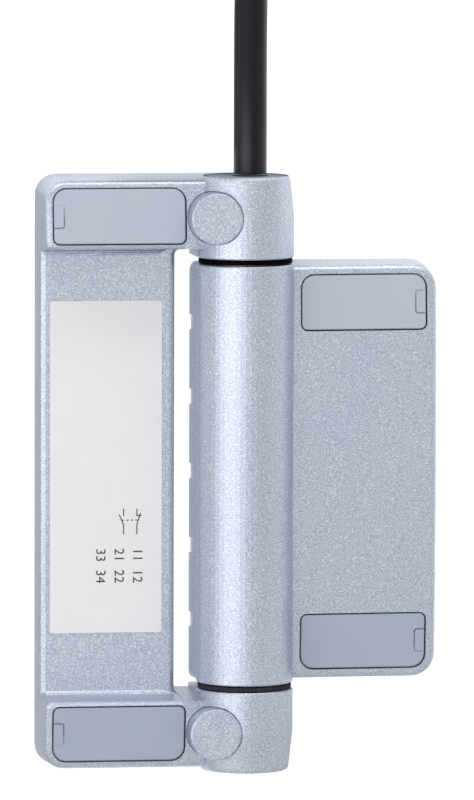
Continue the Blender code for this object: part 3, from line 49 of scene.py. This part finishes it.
# The hinge axis, and the sizes that the pieces here share with the solids
HINGE_X = 1.125 * MM
AXIS_HEIGHT = 10.8 * MM
KNUCKLE_MIDDLE = 54.1 * MM
BOSS_X = -7.2 * MM + HINGE_X
BOSS_RADIUS = 5.4 * MM
# Where the painted shade line round each boss lies: how far out from the boss's edge, and its half width
BOSS_SHADE_LINE_OUT = 0.12 * MM
BOSS_SHADE_LINE_HALF = 0.1 * MM

# The label in the recess and its print, which reads from the top of the picture down
LABEL_LEFT = -40.85 * MM + HINGE_X
LABEL_RIGHT = -17.2 * MM + HINGE_X
LABEL_HIGH = 36.2 * MM
LABEL_LOW = -33.85 * MM
LABEL_UNDER = 7.5 * MM
LABEL_THICKNESS = 0.2 * MM
LABEL_CORNER = 0.55 * MM
PRINT_THICKNESS = 0.02 * MM
PRINT_HEIGHT = LABEL_UNDER + LABEL_THICKNESS + PRINT_THICKNESS / 2
MERGE_DISTANCE = 0.001 * MM

# The contact symbol: how far its two pairs are across the label, its top and its line width
CLOSED_PAIR = 18.4 * MM
OPEN_PAIR = 15.6 * MM
SYMBOL_TOP = 43.9 * MM
SYMBOL_LINE = 0.22 * MM

# The symbol's points, down from its top
BLADE_TIP = 0.9 * MM
OPEN_TIP = 1.2 * MM
HOOK_DOWN = 1.45 * MM
FIXED_END = 1.5 * MM
SLIDE = 2.4 * MM
PIVOT = 3.4 * MM
SYMBOL_LENGTH = 5.4 * MM

# The symbol's points, across from their pair
BLADE_PAST = 0.75 * MM
HOOK_START = 0.1 * MM
HOOK_PAST = 0.9 * MM
OPEN_SWING = 0.95 * MM
DASH = 0.5 * MM
DASH_STEP = 0.95 * MM
DASH_FIRST = -0.4 * MM

# The terminal numbers, with how far each line of them is across the label
NUMBER_LINES = (("11  12", 17.6 * MM), ("21  22", 13.7 * MM), ("33  34", 9.8 * MM))
NUMBERS_DOWN = 52.2 * MM
NUMBER_SIZE = 2.9 * MM

# The cable and its coil
CABLE_DIAMETER = 7.0 * MM
CABLE_X = 1.3 * MM
CABLE_Z = -2.8 * MM
CABLE_DRIFT = 0.5 * MM
KNUCKLE_END = 62.75 * MM
CABLE_FALL_START = 66.0 * MM
CABLE_BEND_START = 99.0 * MM
CABLE_BEND_RADIUS = 30.0 * MM
CABLE_LIE_HEIGHT = 3.8 * MM
CABLE_FALL_PAST = 14 * MM
CABLE_RISE_LENGTH = 20 * MM
COIL_CENTRE_X = -18.0 * MM
COIL_MEAN_RADIUS = 38.5 * MM
COIL_COLUMNS = 3
COIL_LAYERS = 4
COIL_LIFT = 1.2 * MM
COIL_GAP = 0.3 * MM
COIL_STEP_OVER = math.radians(120)
COIL_CLIMB_AHEAD = 0.35 * COIL_STEP_OVER
COIL_POINT_ANGLE = math.radians(7.5)
COIL_SIDE_RADIUS = COIL_MEAN_RADIUS + COIL_COLUMNS / 2 * CABLE_DIAMETER + COIL_GAP + CABLE_DIAMETER / 2
CABLE_BEND_X = CABLE_X + CABLE_DRIFT + CABLE_BEND_RADIUS
COIL_CENTRE_Y = CABLE_BEND_START + math.sqrt(
    (CABLE_BEND_RADIUS + COIL_SIDE_RADIUS) ** 2 - (CABLE_BEND_X - COIL_CENTRE_X) ** 2
)

# The floor, and where metal sees it bright or in shade: each pair is where that starts and is full
FLOOR_HALF_SIDE = 4.0
FLOOR_UNDER = -0.05 * MM
FLOOR_COLOUR = (0.55, 0.55, 0.56, 1)
FLOOR_SEEN = 0.82
# How strongly the floor glows for mirrored rays, a painted reflection
FLOOR_REFLECTION_GLOW = 0.7
BRIGHT_BESIDE = (-48 * MM, -30 * MM)
BRIGHT_ABOVE = (56 * MM, 66 * MM)
CABLE_SHADE_ABOVE = (64 * MM, 69 * MM)
CABLE_SHADE_LEFT = (-30 * MM, -20 * MM)
CABLE_SHADE_RIGHT = (2 * MM, -2 * MM)
CABLE_SHADE = 0.95
LOW_SHADE_BELOW = (-40 * MM, -60 * MM)
LOW_SHADE_BESIDE = (-5 * MM, 8 * MM)
LOW_SHADE = 0.75

# Soft boxes: degrees to the right and up, width (parallel to the floor) and height in metres, watts
LAMP_DISTANCE = 1.1
LAMPS = {
    "left_box_outer": (-52, 0, 0.3, 1.3, 1.3),
    "left_box": (-37, 0, 0.3, 1.3, 2.0),
    "left_box_inner": (-22, 0, 0.3, 1.3, 0.6),
    "top_box": (0, 50, 1.2, 0.4, 0.8),
    "top_strip": (0, 70, 1.4, 0.16, 4.0),
    "right_fill": (84, 0, 0.3, 1.3, 0.4),
}
STUDIO_COLOUR = (0.965, 0.967, 0.978, 1)
STUDIO_STRENGTH = 0.79

# The camera, fitted to the photograph's outline of the switch
CAMERA_LENS = 388.617
CAMERA_PLACE = (-231.695 * MM + HINGE_X, 185.332 * MM, 1800 * MM)
CAMERA_TURN = (-0.0943323, -0.1275651, 0.0029363)


def linear(r, g, b):
    """A colour of 0 to 255 as shader values."""
    out = []
    for value in (r, g, b):
        c = value / 255
        out.append(c / 12.92 if c <= 0.04045 else ((c + 0.055) / 1.055) ** 2.4)
    return (*out, 1)


class Finish:
    """A material's nodes, with short calls for the ones that are used here."""

    def __init__(self, name):
        self.material = bpy.data.materials.new(name)
        self.material.use_nodes = True
        self.nodes = self.material.node_tree.nodes
        self.links = self.material.node_tree.links
        self.shader = self.nodes["Principled BSDF"]
        self.place = self.add("ShaderNodeTexCoord").outputs["Object"]

    def add(self, kind, **settings):
        node = self.nodes.new(kind)
        for key, value in settings.items():
            if key in node.inputs:
                node.inputs[key].default_value = value
            else:
                setattr(node, key, value)
        return node

    def noise(self, scale, detail=2.0, roughness=0.5, stretch=None):
        node = self.add("ShaderNodeTexNoise", Scale=scale, Detail=detail, Roughness=roughness)
        self.links.new(self.stretched(stretch), node.inputs["Vector"])
        return node.outputs["Fac"]

    def stretched(self, stretch):
        if stretch is None:
            return self.place
        mapping = self.add("ShaderNodeMapping")
        mapping.inputs["Scale"].default_value = stretch
        self.links.new(self.place, mapping.inputs["Vector"])
        return mapping.outputs["Vector"]

    def ramp(self, value, *stops):
        node = self.add("ShaderNodeValToRGB")
        elements = node.color_ramp.elements
        while len(elements) < len(stops):
            elements.new(0.5)
        for element, (position, colour) in zip(elements, stops):
            element.position = position
            element.color = colour
        self.links.new(value, node.inputs["Fac"])
        return node.outputs["Color"]

    def span(self, value, low, high):
        """The value, from 0 to 1, spread from low to high."""
        node = self.add("ShaderNodeMapRange")
        node.inputs["To Min"].default_value = low
        node.inputs["To Max"].default_value = high
        self.links.new(value, node.inputs["Value"])
        return node.outputs["Result"]

    def rise(self, value, start, end):
        """0 up to start, 1 from end on, with a soft passage between them."""
        node = self.add("ShaderNodeMapRange", interpolation_type="SMOOTHSTEP")
        node.inputs["From Min"].default_value = start
        node.inputs["From Max"].default_value = end
        self.links.new(value, node.inputs["Value"])
        return node.outputs["Result"]

    def mix(self, factor, first, second, blend="MIX"):
        node = self.add("ShaderNodeMix", data_type="RGBA", blend_type=blend)
        sockets = (node.inputs[0], node.inputs[6], node.inputs[7])
        for socket, value in zip(sockets, (factor, first, second)):
            if hasattr(value, "links"):
                self.links.new(value, socket)
            else:
                socket.default_value = value
        return node.outputs[2]

    def math(self, operation, *values):
        node = self.add("ShaderNodeMath", operation=operation)
        for socket, value in zip(node.inputs, values):
            if hasattr(value, "links"):
                self.links.new(value, socket)
            else:
                socket.default_value = value
        return node.outputs["Value"]

    def boss_painted_shade_line(self):
        """1 in the thin ring of painted shade round each boss of the knuckles, where the boss meets the
        knuckle, 0 elsewhere.
        """
        parts = self.add("ShaderNodeSeparateXYZ")
        self.links.new(self.place, parts.inputs["Vector"])
        across = self.math("SUBTRACT", parts.outputs["X"], BOSS_X)
        along = self.math("SUBTRACT", self.math("ABSOLUTE", parts.outputs["Y"]), KNUCKLE_MIDDLE)
        squares = self.math("ADD", self.math("POWER", across, 2.0), self.math("POWER", along, 2.0))
        radius = self.math("SQRT", squares)
        off = self.math("ABSOLUTE", self.math("SUBTRACT", radius, BOSS_RADIUS + BOSS_SHADE_LINE_OUT))
        return self.math("LESS_THAN", off, BOSS_SHADE_LINE_HALF)

    def bump(self, height, strength, distance, after=None):
        node = self.add("ShaderNodeBump", Strength=strength, Distance=distance)
        self.links.new(height, node.inputs["Height"])
        if after is not None:
            self.links.new(after, node.inputs["Normal"])
        return node.outputs["Normal"]

    def feed(self, socket, value):
        if hasattr(value, "links"):
            self.links.new(value, self.shader.inputs[socket])
        else:
            self.shader.inputs[socket].default_value = value


def silver_lacquer():
    """Fine metallic lacquer on a die casting: flakes that catch the light, over a faint orange peel."""
    finish = Finish("silver_lacquer_paint")
    flakes = finish.noise(3600, 3, 0.7)
    clouds = finish.noise(60, 3)
    base = finish.ramp(
        flakes, (0.3, linear(146, 154, 170)), (0.52, linear(186, 193, 206)), (0.7, linear(236, 240, 248))
    )
    shade = finish.ramp(clouds, (0.35, (0.96, 0.97, 0.99, 1)), (0.65, (1, 1, 1, 1)))
    lacquer = finish.mix(1.0, base, shade, "MULTIPLY")
    # Painted shade: the lacquer is darkened in a thin ring round each boss
    finish.feed("Base Color", finish.mix(finish.boss_painted_shade_line(), lacquer, linear(92, 97, 112)))
    finish.feed("Metallic", 0.75)
    finish.feed("Roughness", finish.span(flakes, 0.3, 0.5))
    finish.feed("Coat Weight", 0.12)
    finish.feed("Coat Roughness", 0.25)
    peel = finish.bump(finish.noise(900, 2), 0.1, 0.05 * MM)
    finish.feed("Normal", finish.bump(flakes, 0.22, 0.03 * MM, peel))
    return finish.material


def cover_plastic(name, r, g, b, roughness=0.34):
    """Smooth satin plastic with a very fine moulded texture."""
    finish = Finish(name)
    clouds = finish.noise(90, 3)
    finish.feed("Base Color", finish.mix(clouds, linear(r, g, b), linear(r + 5, g + 5, b + 4)))
    finish.feed("Roughness", finish.span(finish.noise(1400, 2), roughness, roughness + 0.1))
    finish.feed("Normal", finish.bump(finish.noise(4200, 2), 0.05, 0.02 * MM))
    return finish.material


def label_film():
    """White printed film with a slight waviness from the adhesive."""
    finish = Finish("white_label_film")
    clouds = finish.noise(120, 3)
    finish.feed("Base Color", finish.mix(clouds, linear(221, 218, 220), linear(227, 224, 226)))
    finish.feed("Roughness", finish.span(finish.noise(500, 2), 0.32, 0.42))
    finish.feed("Normal", finish.bump(finish.noise(160, 2), 0.12, 0.1 * MM))
    return finish.material


def printing_ink():
    finish = Finish("black_label_print")
    finish.feed("Base Color", finish.mix(finish.noise(900, 2), linear(24, 24, 26), linear(38, 38, 40)))
    finish.feed("Roughness", 0.5)
    return finish.material


def black_rubber(name, shade):
    finish = Finish(name)
    dark, light = linear(shade, shade, shade + 2), linear(shade + 8, shade + 8, shade + 12)
    finish.feed("Base Color", finish.mix(finish.noise(700, 3), dark, light))
    finish.feed("IOR", 1.08)
    finish.feed("Roughness", finish.span(finish.noise(1500, 2), 0.55, 0.75))
    finish.feed("Normal", finish.bump(finish.noise(1800, 2), 0.15, 0.03 * MM))
    return finish.material


def cable_jacket():
    """Extruded jacket: faint lines along the cable and a soft satin shine."""
    finish = Finish("black_cable_jacket")
    grain = finish.noise(1200, 3)
    finish.feed("Base Color", finish.mix(grain, linear(4, 5, 9), linear(9, 11, 18)))
    finish.feed("IOR", 1.38)
    finish.feed("Specular Tint", (0.84, 0.88, 1.0, 1))
    finish.feed("Roughness", finish.span(finish.noise(400, 2), 0.24, 0.32))
    finish.feed("Normal", finish.bump(grain, 0.1, 0.03 * MM))
    return finish.material


def plain_metal(name, r, g, b, roughness, stretch):
    """Turned or drawn metal with fine tool lines."""
    finish = Finish(name)
    lines = finish.noise(900, 3, 0.6, stretch)
    dark, light = linear(r - 12, g - 12, b - 12), linear(r + 8, g + 8, b + 8)
    finish.feed("Base Color", finish.mix(lines, dark, light))
    finish.feed("Metallic", 1.0)
    finish.feed("Roughness", finish.span(lines, roughness - 0.06, roughness + 0.08))
    finish.feed("Normal", finish.bump(lines, 0.12, 0.02 * MM))
    return finish.material


def moulded_plastic(name, r, g, b):
    finish = Finish(name)
    clouds = finish.noise(300, 3)
    finish.feed("Base Color", finish.mix(clouds, linear(r, g, b), linear(r + 8, g + 8, b + 8)))
    finish.feed("Roughness", finish.span(finish.noise(900, 2), 0.4, 0.55))
    finish.feed("Normal", finish.bump(finish.noise(2600, 2), 0.08, 0.02 * MM))
    return finish.material


def paint(material, *names):
    for name in names:
        slots = NODES[name].material_slots
        if slots:
            for index in range(len(slots)):
                slots[index].material = material
        else:
            NODES[name].data.materials.append(material)


def new_piece(name, bm, material):
    mesh = bpy.data.meshes.new(name)
    bm.to_mesh(mesh)
    bm.free()
    mesh.materials.append(material)
    piece = bpy.data.objects.new(name, mesh)
    bpy.context.scene.collection.objects.link(piece)
    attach(piece, "switch_side")
    return piece


def arc(centre, radius, start, end, steps):
    points = []
    for step in range(steps + 1):
        angle = math.radians(start + (end - start) * step / steps)
        points.append((centre[0] + radius * math.cos(angle), centre[1] + radius * math.sin(angle)))
    return points


def ease(t):
    t = min(max(t, 0.0), 1.0)
    return t * t * (3 - 2 * t)


def lead_route():
    """The cable from the knuckle to the side of the coil, the same as in the part's source."""
    plan = []
    straight = 8
    for step in range(straight):
        t = step / straight
        plan.append((CABLE_X + CABLE_DRIFT * t * t, KNUCKLE_END + (CABLE_BEND_START - KNUCKLE_END) * t))
    across = CABLE_BEND_X - COIL_CENTRE_X
    meet = math.degrees(math.atan2(COIL_CENTRE_Y - CABLE_BEND_START, -across))
    plan += arc((CABLE_BEND_X, CABLE_BEND_START), CABLE_BEND_RADIUS, 180, meet, 6)
    leaving = AXIS_HEIGHT + CABLE_Z
    joining = COIL_LIFT + CABLE_DIAMETER / 2
    route = []
    for x, y in plan:
        down = ease((y - CABLE_FALL_START) / (CABLE_BEND_START + CABLE_FALL_PAST - CABLE_FALL_START))
        up = ease((y - CABLE_BEND_START - CABLE_FALL_PAST) / CABLE_RISE_LENGTH)
        z = leaving + (CABLE_LIE_HEIGHT - leaving) * down + (joining - CABLE_LIE_HEIGHT) * up
        route.append(Vector((HINGE_X + x, y, z)))
    return route, math.radians(meet - 180)


def coil_route(start_angle):
    """The turns, in and out again by layers, with the climbs set ahead of the shifts."""
    middle = COIL_STEP_OVER / 2
    events = [("r", -(COIL_SIDE_RADIUS - COIL_MEAN_RADIUS - CABLE_DIAMETER), middle)]
    ahead = 0.0
    turn = 0
    for layer in range(COIL_LAYERS):
        for _ in range(COIL_COLUMNS - 1):
            turn += 1
            way = -CABLE_DIAMETER if layer % 2 == 0 else CABLE_DIAMETER
            events.append(("r", way, math.tau * turn + middle - ahead))
        turn += 1
        ahead += COIL_CLIMB_AHEAD
        if layer < COIL_LAYERS - 1:
            events.append(("z", CABLE_DIAMETER, math.tau * turn + middle - ahead))
            ahead += COIL_CLIMB_AHEAD
    end = math.tau * turn - ahead
    route = []
    steps = int(end / COIL_POINT_ANGLE)
    for step in range(1, steps + 1):
        phi = end * step / steps
        radius, height = COIL_SIDE_RADIUS, COIL_LIFT + CABLE_DIAMETER / 2
        for kind, amount, when in events:
            done = amount * ease((phi - when) / COIL_STEP_OVER + 0.5)
            if kind == "r":
                radius += done
            else:
                height += done
        angle = start_angle + phi
        route.append(Vector((
            HINGE_X + COIL_CENTRE_X + radius * math.cos(angle),
            COIL_CENTRE_Y + radius * math.sin(angle),
            height,
        )))
    return route


def cable():
    lead, meet = lead_route()
    points = [*lead, *coil_route(meet)]
    curve = bpy.data.curves.new("connection_cable_whole", "CURVE")
    curve.dimensions = "3D"
    curve.bevel_depth = CABLE_DIAMETER / 2
    curve.bevel_resolution = 5
    curve.resolution_u = 4
    curve.use_fill_caps = True
    spline = curve.splines.new("POLY")
    spline.points.add(len(points) - 1)
    for point, place in zip(spline.points, points):
        point.co = (*place, 1)
    spline.use_smooth = True
    curve.materials.append(CABLE)
    piece = bpy.data.objects.new("connection_cable_whole", curve)
    bpy.context.scene.collection.objects.link(piece)
    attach(piece, "switch_side")
    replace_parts(piece, "connection_cable", "cable_coil")


def return_spring():
    """The coil spring, made a piece of its own because it shortens as the plunger rises."""
    bm = bmesh.new()
    bm.from_mesh(NODES["return_spring"].data)
    bmesh.ops.remove_doubles(bm, verts=bm.verts[:], dist=MERGE_DISTANCE)
    piece = new_piece("return_spring_coil", bm, STEEL)
    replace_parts(piece, "return_spring")
    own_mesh(piece)


def label():
    """The white label, a thin film with rounded corners."""
    bm = bmesh.new()
    bmesh.ops.create_grid(bm, x_segments=1, y_segments=1, size=0.5)
    bmesh.ops.scale(bm, vec=(LABEL_RIGHT - LABEL_LEFT, LABEL_HIGH - LABEL_LOW, 1), verts=bm.verts)
    middle = ((LABEL_LEFT + LABEL_RIGHT) / 2, (LABEL_LOW + LABEL_HIGH) / 2, LABEL_UNDER)
    bmesh.ops.translate(bm, vec=middle, verts=bm.verts)
    bmesh.ops.bevel(
        bm,
        geom=bm.verts[:],
        offset=LABEL_CORNER,
        segments=5,
        profile=0.5,
        affect="VERTICES",
        material=-1,
    )
    sides = bmesh.ops.extrude_face_region(bm, geom=bm.faces[:])
    raised = [part for part in sides["geom"] if isinstance(part, bmesh.types.BMVert)]
    bmesh.ops.translate(bm, vec=(0, 0, LABEL_THICKNESS), verts=raised)
    bmesh.ops.recalc_face_normals(bm, faces=bm.faces)
    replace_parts(new_piece("white_label", bm, FILM), "rating_label")


def print_place(across, down):
    """A point of the print: across is from the label's left edge, down from its top edge."""
    return LABEL_LEFT + across, LABEL_HIGH - down


def stroke(bm, start, end):
    """A printed line between two points of the print."""
    (x0, y0), (x1, y1) = print_place(*start), print_place(*end)
    made = bmesh.ops.create_cube(bm, size=1)["verts"]
    length = math.hypot(x1 - x0, y1 - y0)
    bmesh.ops.scale(bm, vec=(length, SYMBOL_LINE, PRINT_THICKNESS), verts=made)
    turn = Matrix.Rotation(math.atan2(y1 - y0, x1 - x0), 3, "Z")
    bmesh.ops.rotate(bm, matrix=turn, verts=made)
    bmesh.ops.translate(bm, vec=((x0 + x1) / 2, (y0 + y1) / 2, PRINT_HEIGHT), verts=made)


def numbers(bm, words, across):
    """Plain terminal numbers; their feet are towards the label's left edge."""
    drawn = bpy.data.curves.new("terminal_numbers", "FONT")
    drawn.body = words
    drawn.size = NUMBER_SIZE
    drawn.extrude = PRINT_THICKNESS / 2
    drawn.resolution_u = 3
    holder = bpy.data.objects.new("terminal_numbers", drawn)
    bpy.context.scene.collection.objects.link(holder)
    bpy.context.view_layer.update()
    shown = holder.evaluated_get(bpy.context.evaluated_depsgraph_get())
    mesh = bpy.data.meshes.new_from_object(shown)
    bpy.data.objects.remove(holder, do_unlink=True)
    x, y = print_place(across, NUMBERS_DOWN)
    place = Matrix.Translation((x, y, PRINT_HEIGHT))
    mesh.transform(place @ Matrix.Rotation(math.radians(-90), 4, "Z"))
    bm.from_mesh(mesh)


def label_print():
    """The contact symbol of a closed and an open pair on one slide, and the terminal numbers."""
    bm = bmesh.new()
    fixed, pivot, slide = SYMBOL_TOP + FIXED_END, SYMBOL_TOP + PIVOT, SYMBOL_TOP + SLIDE
    hook = SYMBOL_TOP + HOOK_DOWN
    for across in (CLOSED_PAIR, OPEN_PAIR):
        stroke(bm, (across, SYMBOL_TOP), (across, fixed))
        stroke(bm, (across, pivot), (across, SYMBOL_TOP + SYMBOL_LENGTH))
    stroke(bm, (CLOSED_PAIR, pivot), (CLOSED_PAIR + BLADE_PAST, SYMBOL_TOP + BLADE_TIP))
    stroke(bm, (CLOSED_PAIR - HOOK_START, hook), (CLOSED_PAIR + HOOK_PAST, hook))
    stroke(bm, (OPEN_PAIR, pivot), (OPEN_PAIR - OPEN_SWING, SYMBOL_TOP + OPEN_TIP))
    for dash in range(4):
        across = OPEN_PAIR + DASH_FIRST + dash * DASH_STEP
        stroke(bm, (across, slide), (across + DASH, slide))
    for words, across in NUMBER_LINES:
        numbers(bm, words, across)
    bmesh.ops.remove_doubles(bm, verts=bm.verts[:], dist=MERGE_DISTANCE)
    bmesh.ops.recalc_face_normals(bm, faces=bm.faces[:])
    new_piece("label_print", bm, INK)


def floor():
    """The pale floor; the camera sees it white, and metal sees it bright where the photo shows that."""
    bm = bmesh.new()
    bmesh.ops.create_grid(bm, x_segments=1, y_segments=1, size=FLOOR_HALF_SIDE)
    mesh = bpy.data.meshes.new("studio_floor")
    bm.to_mesh(mesh)
    bm.free()
    piece = bpy.data.objects.new("studio_floor", mesh)
    piece.location.z = FLOOR_UNDER
    bpy.context.scene.collection.objects.link(piece)
    finish = Finish("studio_floor_paint")
    finish.feed("Base Color", FLOOR_COLOUR)
    finish.feed("Roughness", 0.9)
    finish.feed("Emission Color", (1, 1, 1, 1))
    parts = finish.add("ShaderNodeSeparateXYZ")
    finish.links.new(finish.place, parts.inputs["Vector"])
    x, y = parts.outputs["X"], parts.outputs["Y"]
    bright = finish.math("MAXIMUM", finish.rise(x, *BRIGHT_BESIDE), finish.rise(y, *BRIGHT_ABOVE))
    by_cable = finish.rise(y, *CABLE_SHADE_ABOVE)
    for side in (CABLE_SHADE_LEFT, CABLE_SHADE_RIGHT):
        by_cable = finish.math("MULTIPLY", by_cable, finish.rise(x, *side))
    low = finish.math("MULTIPLY", finish.rise(y, *LOW_SHADE_BELOW), finish.rise(x, *LOW_SHADE_BESIDE))
    for dark, share in ((by_cable, CABLE_SHADE), (low, LOW_SHADE)):
        bright = finish.math("MULTIPLY", bright, finish.span(dark, 1.0, 1.0 - share))
    # Painted reflection: for mirrored rays the floor glows in these patches, with painted shade by the
    # cable and low down
    rays = finish.add("ShaderNodeLightPath")
    reflection_glow = finish.math("MULTIPLY", bright, rays.outputs["Is Glossy Ray"])
    seen = finish.math("MULTIPLY", rays.outputs["Is Camera Ray"], FLOOR_SEEN)
    reflection_glow = finish.math("MULTIPLY", reflection_glow, FLOOR_REFLECTION_GLOW)
    finish.feed("Emission Strength", finish.math("ADD", seen, reflection_glow))
    mesh.materials.append(finish.material)


def soft_light(name, across, up, width, height, power):
    """A soft box that shines at the switch; across and up are its angles in degrees."""
    light = bpy.data.lights.new(name, "AREA")
    light.shape = "RECTANGLE"
    light.size = width
    light.size_y = height
    light.energy = power
    a, u = math.radians(across), math.radians(up)
    direction = Vector((math.sin(a) * math.cos(u), math.sin(u), math.cos(a) * math.cos(u)))
    lamp = bpy.data.objects.new(name, light)
    lamp.location = direction * LAMP_DISTANCE
    lamp.rotation_euler = direction.to_track_quat("Z", "Y").to_euler()
    bpy.context.scene.collection.objects.link(lamp)


def surroundings():
    world = bpy.data.worlds.new("studio")
    bpy.context.scene.world = world
    world.use_nodes = True
    background = world.node_tree.nodes["Background"]
    background.inputs["Color"].default_value = STUDIO_COLOUR
    background.inputs["Strength"].default_value = STUDIO_STRENGTH


def camera():
    """From the front, a little from the left and from above, at the photograph's distance."""
    data = bpy.data.cameras.new("camera")
    data.sensor_width = 36
    data.lens = CAMERA_LENS
    data.clip_start = 0.05
    data.clip_end = 20
    eye = bpy.data.objects.new("camera", data)
    eye.location = CAMERA_PLACE
    eye.rotation_euler = CAMERA_TURN
    bpy.context.scene.collection.objects.link(eye)
    bpy.context.scene.camera = eye


SILVER = silver_lacquer()
# The covers are one plastic in two copies: lighter on the upper covers as painted light from above,
# darker on the lower covers as painted shade
COVER_PAINTED_LIT = cover_plastic("cover_paint_painted_lit", 169, 177, 191)
COVER_PAINTED_SHADED = cover_plastic("cover_paint_painted_shaded", 156, 165, 181)
PLATE = cover_plastic("grey_plate_paint", 152, 161, 177, 0.8)
FILM = label_film()
INK = printing_ink()
# The upper seal ring and the cable seal get a near-black copy of the rubber, painted shade for the deep
# gap round the upper ring; the lower seal ring gets a dark grey copy
GAP_SHADE_AND_BLACK_RUBBER = black_rubber("black_rubber_and_painted_gap_shade", 2)
GREY_RUBBER = black_rubber("dark_seal_rubber", 48)
CABLE = cable_jacket()
STEEL = plain_metal("bright_steel_turned", 190, 190, 192, 0.3, (1, 6, 1))
INSERT = plain_metal("insert_aluminium_turned", 205, 206, 208, 0.35, (1, 6, 1))
BRASS = plain_metal("contact_brass_strip", 212, 178, 106, 0.28, (1, 1, 4))
ACETAL = moulded_plastic("bush_acetal", 228, 224, 214)
WHITE_CAM = moulded_plastic("cam_acetal", 234, 234, 230)
CARRIER = moulded_plastic("carrier_plastic", 34, 34, 36)

paint(SILVER, "switch_housing", "door_leaf")
paint(COVER_PAINTED_LIT, "upper_screw_cover", "door_upper_cover")
paint(COVER_PAINTED_SHADED, "lower_screw_cover", "door_lower_cover")
paint(PLATE, "cable_end_plate", "lower_end_plate")
# Painted shade: the upper seal ring is near black for the shadow in its gap
paint(GAP_SHADE_AND_BLACK_RUBBER, "upper_seal_ring", "cable_seal")
paint(GREY_RUBBER, "lower_seal_ring")
paint(CABLE, "core_wires", "near_cable_tie", "far_cable_tie", "core_ends")
paint(STEEL, "upper_lock_screw", "lower_lock_screw", "lower_hinge_pin", "cam_pin")
paint(INSERT, "switch_insert")
paint(
    BRASS,
    *("fixed_contact_" + number for number in ("11", "12", "21", "22", "33", "34")),
    "closed_bridge_a",
    "closed_bridge_b",
    "open_bridge",
)
paint(ACETAL, "upper_bush", "lower_bush")
paint(WHITE_CAM, "camshaft", "plunger")
paint(CARRIER, "contact_carrier")

cable()
return_spring()
label()
label_print()
floor()
for lamp_name, settings in LAMPS.items():
    soft_light(lamp_name, *settings)
surroundings()
camera()
bpy.context.scene.view_settings.view_transform = "Standard"
